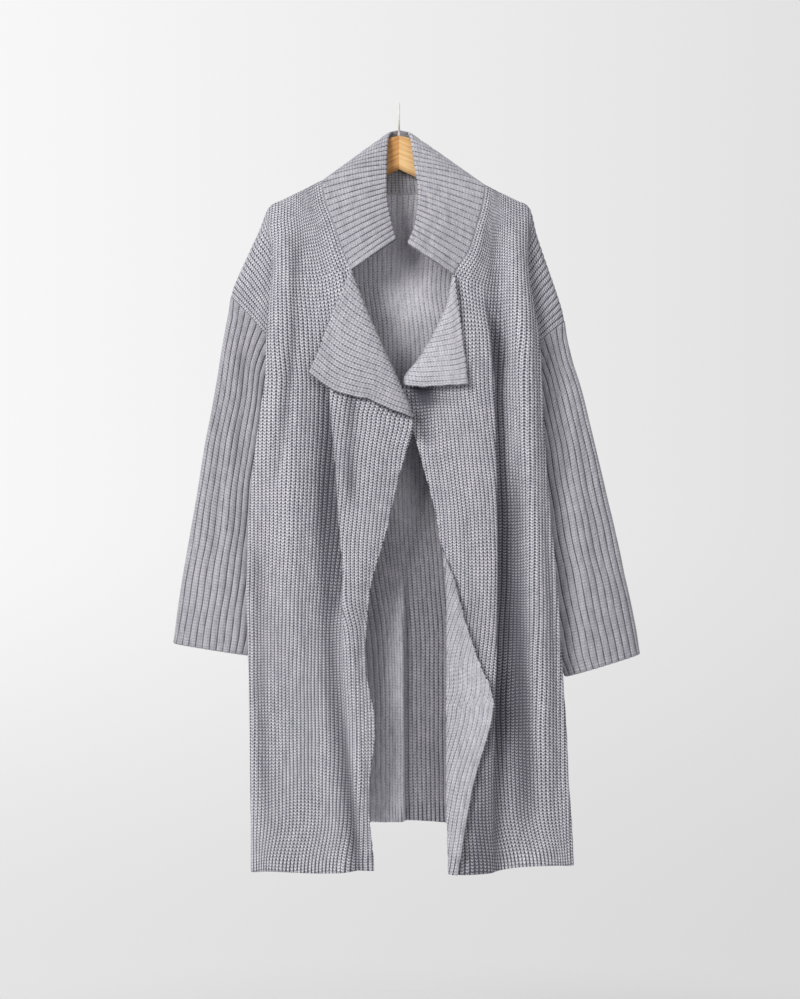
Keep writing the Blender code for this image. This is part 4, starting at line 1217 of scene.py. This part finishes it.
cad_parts["hanger_wood"].material_slots[0].material = wood_material()
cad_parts["hanger_hook"].material_slots[0].material = wire_material()

seams = build_seams()


def make_camera():
    """Level with the middle of the garment, square to its front."""
    data = bpy.data.cameras.new("camera")
    data.lens = 80.0
    data.sensor_width = 36.0
    data.clip_end = 60.0
    camera = bpy.data.objects.new("camera", data)
    camera.location = (0.0014, -3.235, -0.575)
    camera.rotation_euler = (np.pi / 2, 0.0, 0.0)
    bpy.context.scene.collection.objects.link(camera)
    bpy.context.scene.camera = camera


def make_light(name, place, size, power, colour):
    """A soft square light aimed at the middle of the garment."""
    data = bpy.data.lights.new(name, "AREA")
    data.size = size
    data.energy = power
    data.color = colour
    light = bpy.data.objects.new(name, data)
    light.location = place
    aim = np.array([0.0, 0.0, -0.55]) - np.array(place)
    light.rotation_euler = (
        np.arccos(-aim[2] / np.linalg.norm(aim)), 0.0, np.arctan2(aim[1], aim[0]) - np.pi / 2
    )
    bpy.context.scene.collection.objects.link(light)


def make_floor():
    """A plain pale round floor under the garment that fades into the pale surroundings."""
    shader = Shader("pale_floor", roughness=0.9, specular=0.1)
    shader.colour((0.90, 0.90, 0.90, 1.0))
    x, y, _ = shader.place().split()
    fade = (x * x + y * y).math("SQRT").ramp(0.2, 1.3)
    solid = Signal(shader.tree, shader.surface.outputs[0])
    _, clear = add_node(shader.tree, "BsdfTransparent", {})
    _, both = add_node(shader.tree, "MixShader", {0: fade, 1: solid, 2: clear})
    output = next(node for node in shader.tree.nodes if node.type == "OUTPUT_MATERIAL")
    put(shader.tree, output.inputs["Surface"], both)
    turn = 2 * np.pi * np.arange(FLOOR_SIDES) / FLOOR_SIDES
    points = np.stack([np.cos(turn), np.sin(turn), 0 * turn], axis=1) * FLOOR_RADIUS
    points[:, 2] = FLOOR_HEIGHT
    floor = add_mesh("floor", points, [list(range(FLOOR_SIDES))], shader.material)


def make_world():
    """Pale surroundings: bright behind the garment, paler to the left and above, dim in front."""
    world = bpy.data.worlds.new("pale_room")
    world.use_nodes = True
    tree = world.node_tree
    x, y, z = add_node(tree, "TexCoord", {}, "Generated")[1].split()
    low = z.ramp(-0.2, 0.0, 1.0, 0.0) * (x * 0.25 - 0.115)
    wall = x * -0.5 + low + 0.849
    room = z.math("MAXIMUM", 0.0) * 0.25 + ROOM_LIGHT
    background = tree.nodes["Background"]
    background.inputs["Color"].default_value = (1.0, 1.0, 1.0, 1.0)
    put(tree, background.inputs["Strength"], room + y.ramp(0.25, 0.75) * (wall - room))
    bpy.context.scene.world = world


make_camera()
make_light("key", (-2.2, -2.9, 1.1), 1.7, 112.0, (1.0, 0.995, 0.985))
make_light("fill", (1.5, -3.6, -0.3), 1.6, 20.0, (0.98, 0.99, 1.0))
make_floor()
make_world()
bpy.context.scene.view_settings.view_transform = "Standard"
